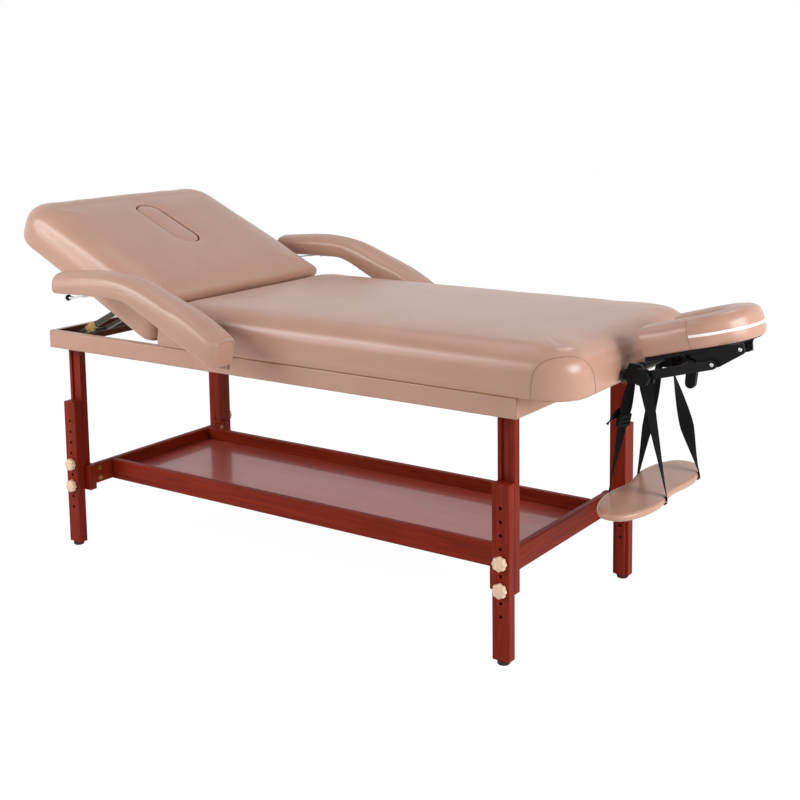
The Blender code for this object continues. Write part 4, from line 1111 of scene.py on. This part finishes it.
def round_bow(rise, steps=60):
    """Points on the outside of the bow along the zip, which sinks a little towards the front."""
    points, ways = [], []
    for k in range(steps + 1):
        turn = radians(-88 + 176 * k / steps)
        way = Vector((cos(turn), sin(turn), 0))
        middle = Vector((BOW_AT, 0, ZIP_HEIGHT + rise - BOW_DROP * cos(turn)))
        points.append(TO_ARMS @ (middle + way * (BOW_HALF + PAD_HALF + 0.05)))
        ways.append(TO_ARMS.to_3x3() @ -way)
    return on_skin(face, points, ways)


rings = []
for low, mid, high in zip(round_bow(-ZIP_HALF), round_bow(0.0), round_bow(ZIP_HALF)):
    out = (mid - TO_ARMS @ Vector((BOW_AT, 0, ZIP_HEIGHT))).normalized()
    rings.append([low - out * 0.0006, low + out * 0.0005, mid + out * 0.0012, high + out * 0.0005,
                  high - out * 0.0006])
tape = skin("face_pad_zip", rings)
dress(tape, ZIP, "face_platform", "tan_vinyl", angle=50)
for side, y_sign in SIDES:
    upright = [Vector((BOW_AT + 0.003, y_sign * 0.2, PAD_LOW + 0.001 + 0.062 * k / 24)) for k in range(25)]
    ways = [TO_ARMS.to_3x3() @ Vector((0, -y_sign, 0))] * len(upright)
    edge = on_skin(face, [TO_ARMS @ spot for spot in upright], ways)
    seam("face_pad_seam_" + side, edge, 0.0007, "face_platform")
print(tape.name, len(tape.data.polygons), "faces")

# %% [markdown]
# The hanging arm shelf is a thin padded board with two lobes and a waist. It hangs a little askew,
# so its far end is higher.

# %% Arm shelf
HANGER = Vector((0.933 + SHIFT, 0, 0.672))
SHELF_LONG, SHELF_HALF, SHELF_WAIST, WAIST_REACH = 0.450, 0.077, 0.26, 0.075
SHELF_DROP, SHELF_TALL, SHELF_TILT = 0.305, 0.016, 0.030


def shelf_half_at(y):
    """Half the shelf's width at one place along it."""
    share = max(1 - (2 * y / SHELF_LONG) ** 2, 0) ** 0.42
    return SHELF_HALF * (1 - SHELF_WAIST * exp(-((y / WAIST_REACH) ** 2))) * share


def shelf_ring(inset, height, steps=96):
    """One ring of the shelf's outline, drawn in by an inset and tilted with the shelf."""
    points = []
    for k in range(steps):
        turn = 2 * pi * k / steps
        y = SHELF_LONG / 2 * sin(turn)
        half = shelf_half_at(y) * (1 if cos(turn) > 0 else -1)
        out = Vector((half, y, 0))
        spot = out * max(1 - inset / max(out.length, 0.001), 0) if inset < 0.03 else Vector(
            (half * max(1 - inset / SHELF_HALF, 0), y * (1 - 1.6 * inset / SHELF_LONG), 0))
        points.append(HANGER + Vector((spot.x, spot.y, height - SHELF_DROP + SHELF_TILT * spot.y)))
    return points


half_tall = SHELF_TALL / 2
profile = [(SHELF_HALF, -half_tall), (0.045, -half_tall), (0.008, -half_tall), (0.0035, -half_tall + 0.0008),
           (0.0010, -half_tall + 0.0032), (0.0, -0.001), (0.0008, half_tall - 0.0048),
           (0.0026, half_tall - 0.0022), (0.0060, half_tall - 0.0005), (0.012, half_tall + 0.0005),
           (0.022, half_tall + 0.0012), (0.045, half_tall + 0.0018), (0.060, half_tall + 0.002),
           (SHELF_HALF, half_tall + 0.002)]
shelf = skin("arm_shelf_skin", [shelf_ring(*row) for row in profile])
ripple(shelf, 0.0003, 0.05)
finish_pad(shelf, "sling", 0.7, "arm_shelf")

# %% [markdown]
# Each strap is a closed loop of flat webbing: over the bar, down, under the shelf and up again. A
# strap turns on its way down and is gathered where it passes the shelf's edge. Each run is given by
# its foot and by how it faces at four heights: 0 is square to the picture and 90 is edge on.

# %% Webbing straps
STRAP_THICK, BAR_ROUND, WEAVE_REPEAT = 0.0018, 0.0106, 0.036
FACING, AWAY = Vector((0.81, 0.59, 0)), Vector((-0.59, 0.81, 0))
LOOP_AT = {"near": -0.072, "far": 0.078}
RUNS = {"near": {-1: (-0.080, ((0.0, 54, 0.034), (0.3, 30, 0.036), (0.6, 50, 0.030), (1.0, 82, 0.016))),
                 1: (-0.052, ((0.0, 54, 0.034), (0.12, 25, 0.036), (0.6, 55, 0.030), (1.0, 80, 0.016)))},
        "far": {-1: (0.086, ((0.0, 54, 0.032), (0.30, 28, 0.033), (0.6, 22, 0.030), (1.0, 60, 0.016))),
                1: (0.150, ((0.0, 54, 0.034), (0.1, 84, 0.034), (0.58, 4, 0.034), (1.0, 84, 0.016)))}}


def between(rows, share):
    """The facing angle and the width at one share of a run."""
    shares, angles, widths = zip(*rows)
    return float(np.interp(share, shares, angles)), float(np.interp(share, shares, widths))


def strap_foot(x_sign, y):
    """Where a run meets the shelf's edge."""
    return HANGER + Vector((x_sign * (shelf_half_at(y) + 0.0016), y, SHELF_TILT * y - SHELF_DROP + 0.003))


def strap_run(side, x_sign, steps=22):
    """One hanging run: its places from the bar to the shelf, with the ribbon's width there."""
    y_foot, rows = RUNS[side][x_sign]
    top = HANGER + Vector((x_sign * BAR_ROUND, LOOP_AT[side], -0.002))
    foot = strap_foot(x_sign, y_foot)
    places = []
    for k in range(steps + 1):
        share = k / steps
        angle, wide = between(rows, share)
        way = FACING * cos(radians(angle)) + AWAY * sin(radians(angle))
        places.append((top.lerp(foot, share), way, wide))
    return places


def webbing(name, places, body, *nodes):
    """A flat ribbon along places, each with its width direction and its width."""
    rings, along, gone = [], [], 0.0
    for k, (spot, way, wide) in enumerate(places):
        ahead = (places[min(k + 1, len(places) - 1)][0] - places[max(k - 1, 0)][0]).normalized()
        flat = (way - ahead * way.dot(ahead)).normalized()
        half, thick = flat * wide / 2, ahead.cross(flat) * STRAP_THICK / 2
        rings.append([spot - half - thick, spot - thick, spot + half - thick,
                      spot + half + thick, spot + thick, spot - half + thick])
        gone += (spot - places[k - 1][0]).length if k else 0.0
        along.append(gone / WEAVE_REPEAT)
    made = skin(name, rings, [0.0, 0.5, 1.0, 1.0, 0.5, 0.0, 0.0], along)
    dress(made, STRAP, body, "webbing", *nodes, angle=50)


for side, _ in SIDES:
    left, right_run = strap_run(side, -1), strap_run(side, 1)
    over = []
    for x, z in bow((0, 0), BAR_ROUND, 0, 180, 10)[1:-1]:
        over.append((HANGER + Vector((x, LOOP_AT[side], z)), ACROSS, 0.034))
    a, b = left[-1][0], right_run[-1][0]
    drop = Vector((0, 0, -SHELF_TALL / 2 - 0.0046))
    across = [(a.lerp(b, share) + drop, ACROSS, 0.020) for share in (0.02, 0.07, 0.3, 0.5, 0.7, 0.93, 0.98)]
    ring = over + left + [(a + drop * 0.6, left[-1][1], 0.016)] + across
    ring += [(b + drop * 0.6, right_run[-1][1], 0.016)] + right_run[::-1]
    webbing("shelf_webbing_" + side, ring + ring[:1], "sling", "shelf_strap_" + side)
print("straps hung")

# %% [markdown]
# The near strap closes with a ladder buckle: a moulded frame with bars across it. Its face is inset
# from a block, round bars lie across it, and the loose end of the strap sticks out beside it.

# %% Ladder buckle and loose strap end
run = strap_run("near", -1)
at, wide, _ = run[9]
fall = (run[10][0] - run[8][0]).normalized()
wide = (wide - fall * wide.dot(fall)).normalized()
out = wide.cross(fall).normalized()
turn = Matrix((out, wide, -fall)).transposed().to_4x4()
turn.translation = at
buckle = block("ladder_buckle", (-0.0045, -0.021, -0.015), (0.0045, 0.021, 0.015))
pick(buckle, "FACE", lambda face: abs(face.normal.x) > 0.9)
bpy.ops.mesh.inset(thickness=0.004, depth=-0.0022)
put_down()
round_over(buckle, 0.0012, 3)
bars = [disc("bar", (0.0036 * face, 0, height), (0, 1, 0), 0.0022, 0.036, 16)
        for face in (-1, 1) for height in (-0.010, 0.0, 0.010)]
buckle = join(buckle, *bars)
buckle.data.transform(turn)
dress(buckle, NYLON, "sling", "black_plastic", "strap_buckle", angle=40)
tail = []
for k in range(15):
    share = k / 14
    spot = at - fall * (0.016 - 0.030 * share ** 2) - wide * (0.006 + 0.030 * share)
    spot += out * (0.006 + 0.010 * share)
    tail.append((spot, fall * cos(0.6 * share) + out * sin(0.6 * share), 0.026 - 0.004 * share))
webbing("loose_strap_end", tail, "sling")
print("buckle at", tuple(round(part, 3) for part in at))

# %% [markdown]
# Turned and pressed fittings: black hub knobs, screws on the cradle arms, and the barrel nuts that
# hold the end rails.

# %% Turned fittings


def turned(name, profile, at, towards, sides=28):
    """A lathe form: rings of (height, radius) along a direction."""
    rings = []
    for height, radius in profile:
        rings.append([(radius * cos(2 * pi * k / sides), radius * sin(2 * pi * k / sides), height)
                      for k in range(sides)])
    return stand(skin(name, rings), at, towards)


for side, y_sign in SIDES:
    name = "hub_knob_" + side
    grip = star_knob(name + "_grip", CRADLE_HUB + Vector((0, y_sign * 0.1160, 0)), (0, y_sign, 0),
                     0.042, 0.0140, 12, 0.05)
    dress(grip, NYLON, home[name], "black_plastic", name, angle=40)

SCREW = [(-0.001, 0.0), (-0.001, 0.0046), (0.0006, 0.0046), (0.0016, 0.0038), (0.0022, 0.0024),
         (0.0022, 0.0017), (0.0010, 0.0015), (0.0010, 0.0)]
for side, y_sign in SIDES:
    pin = TO_ARMS @ Vector((0.166, y_sign * 0.1155, 0))
    head = turned("arm_screw_" + side, SCREW, pin, (0, y_sign, 0))
    dress(head, ZINC, "cradle_arm_frame", "zinc_steel")
    tip = 0.234 if side == "near" else 0.178
    bolt = TO_ARMS @ Vector((tip, y_sign * 0.1070, 0.0215))
    head = turned("bar_screw_" + side, SCREW, bolt, (0, y_sign, 0))
    dress(head, ZINC, "face_platform", "zinc_steel")

NUT = [(-0.0005, 0.0), (-0.0005, 0.0062), (0.0004, 0.0062), (0.0008, 0.0056), (0.0008, 0.0036),
       (-0.0002, 0.0030), (-0.0002, 0.0)]
for end, x_sign in ENDS:
    low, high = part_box("end_rail_" + end)
    for side, y_sign in SIDES:
        for height in (0.224, 0.194):
            for x, way in ((low[0], -1), (high[0], 1)):
                inside = "in" if way == -x_sign else "out"
                nut = turned(f"barrel_nut_{end}_{side}_{round(height * 1000)}_{inside}", NUT,
                             (x, y_sign * 0.262, height), (way, 0, 0), 20)
                dress(nut, YELLOW, "frame", "yellow_steel")
print("hub knobs, screws and nuts turned")

# %% [markdown]
# A release lever hangs under each armrest: a thin plated strip that bends down a little, with a
# screw, a turned ferrule and a black ball at its end.

# %% Release levers
LEVER_AT = Vector((-0.072, 0, -0.0005))
BEND_FROM, BEND_LONG, BEND_DROP = -0.0084, 0.1176, 0.010
BALL, BALL_AT = 0.0085, (-0.138, 0, -0.0118)
FERRULE = [(0.0, 0.0), (0.0, 0.0035), (0.016, 0.0050), (0.017, 0.0044), (0.017, 0.0)]
turns = [radians(-50 + 14 * k) for k in range(10)]
BALL_ROWS = [(-BALL, 0.0), (-BALL, 0.0032), (-0.0076, 0.0042)]
BALL_ROWS += [(BALL * sin(turn), BALL * cos(turn)) for turn in turns] + [(BALL, 0.0006), (BALL, 0.0)]
for side, y_sign in SIDES:
    name = "armrest_lever_" + side
    place = arm_place(y_sign) @ Matrix.Translation(LEVER_AT)
    strip = block("release_strip_" + side, (-0.126, -0.007, -0.003), (0.0084, 0.007, 0))
    for cut_at in (-0.008, -0.035, -0.065, -0.095):
        saw(strip, (cut_at, 0, 0), ALONG)
    for corner in strip.data.vertices:
        corner.co.z -= BEND_DROP * min(max((BEND_FROM - corner.co.x) / BEND_LONG, 0), 1)
    round_over(strip, 0.0007)
    screw = disc("screw", (0, 0, -0.0045), (0, 0, 1), 0.0055, 0.003, 24)
    ferrule = turned("ferrule", FERRULE, (-0.118, 0, -0.0112), (-1, 0, -0.05))
    strip = join(strip, screw, ferrule)
    strip.data.transform(place)
    dress(strip, ZINC, home[name], "zinc_steel", name)
    ball = turned("release_ball_" + side, BALL_ROWS, BALL_AT, (-1, 0, 0))
    ball.data.transform(place)
    dress(ball, NYLON, home[name], "black_plastic")
print("release levers", len(SIDES))

# %% [markdown]
# The stay has a flat bar on each side, on which a plated step sits that drops into the rack. The bar
# starts as a block along the stay's slope, and a short tube carries its upper end.

# %% Side bars of the stay
STAY_FOOT, STAY_HEAD = Vector((-0.834, 0, 0.6280)), Vector((-0.676, 0, 0.7080))
slope = (STAY_HEAD - STAY_FOOT).normalized()
long = (STAY_HEAD - STAY_FOOT).length
for side, y_sign in SIDES:
    lie = Matrix((slope, ACROSS, slope.cross(ACROSS))).transposed().to_4x4()
    lie.translation = STAY_FOOT + Vector((0, y_sign * 0.305, 0))
    bar = block("stay_side_bar_" + side, (-0.006, -0.004, -0.0075), (long + 0.004, 0.004, 0.0075))
    round_over(bar, 0.0012)
    bar.data.transform(lie)
    tube = disc("tube", (STAY_HEAD.x, y_sign * 0.252, STAY_HEAD.z), (0, 1, 0), 0.005, 0.114, 24)
    dress(join(bar, tube), BRONZE, home["stay_frame"], "stained_wood")
    step = block("stay_step_" + side, (0.036, -0.0055, -0.0095), (0.078, 0.0055, 0.0090))
    heel = block("heel", (0.050, -0.0060, -0.0120), (0.066, 0.0060, 0.0105))
    for piece in (step, heel):
        round_over(piece, 0.0010)
    step = join(step, heel)
    step.data.transform(lie)
    dress(step, YELLOW, home["stay_frame"], "yellow_steel")
print("stay bars", len(SIDES))

# %% [markdown]
# The apron is a glued frame wrapped in the same leathercloth over a thin layer of foam, so its edges
# are softly rounded. Its inner faces are bare wood.

# %% The upholstered apron
INSIDE_HALF, INSIDE_LOW, INSIDE_HIGH = 0.337, -0.908, 0.611
apron = merged_copy("apron_cover", "apron")
round_over(apron, 0.004, 4, 38)
dress(apron, VINYL, "frame", "tan_vinyl", "apron")
apron.data.materials.append(BARE)
for face in apron.data.polygons:
    x, y, _ = face.center
    if abs(y) < INSIDE_HALF and INSIDE_LOW < x < INSIDE_HIGH and abs(face.normal.z) < 0.6:
        face.material_index = 1
print(apron.name, len(apron.data.polygons), "faces")

# %% [markdown]
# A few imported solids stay: the deck and the hinge, which are hardly seen, and the sleeves and glides,
# which are round already. They only need the finish of what they are made of.

# %% Finishes of the CAD pieces that stay
KEPT = {"main_deck": PLY, "hinge_rail": PLY, "hinge_leaf_fixed": ZINC, "hinge_leaf_moving": ZINC,
        "peg_sleeve_near": BRONZE, "peg_sleeve_far": BRONZE}
KEPT.update({f"glide_{end}_{side}": RUBBER for end, _ in ENDS for side, _ in SIDES})
for name, finish in KEPT.items():
    paint(frame["nodes"][name], finish)
print("kept", len(KEPT))
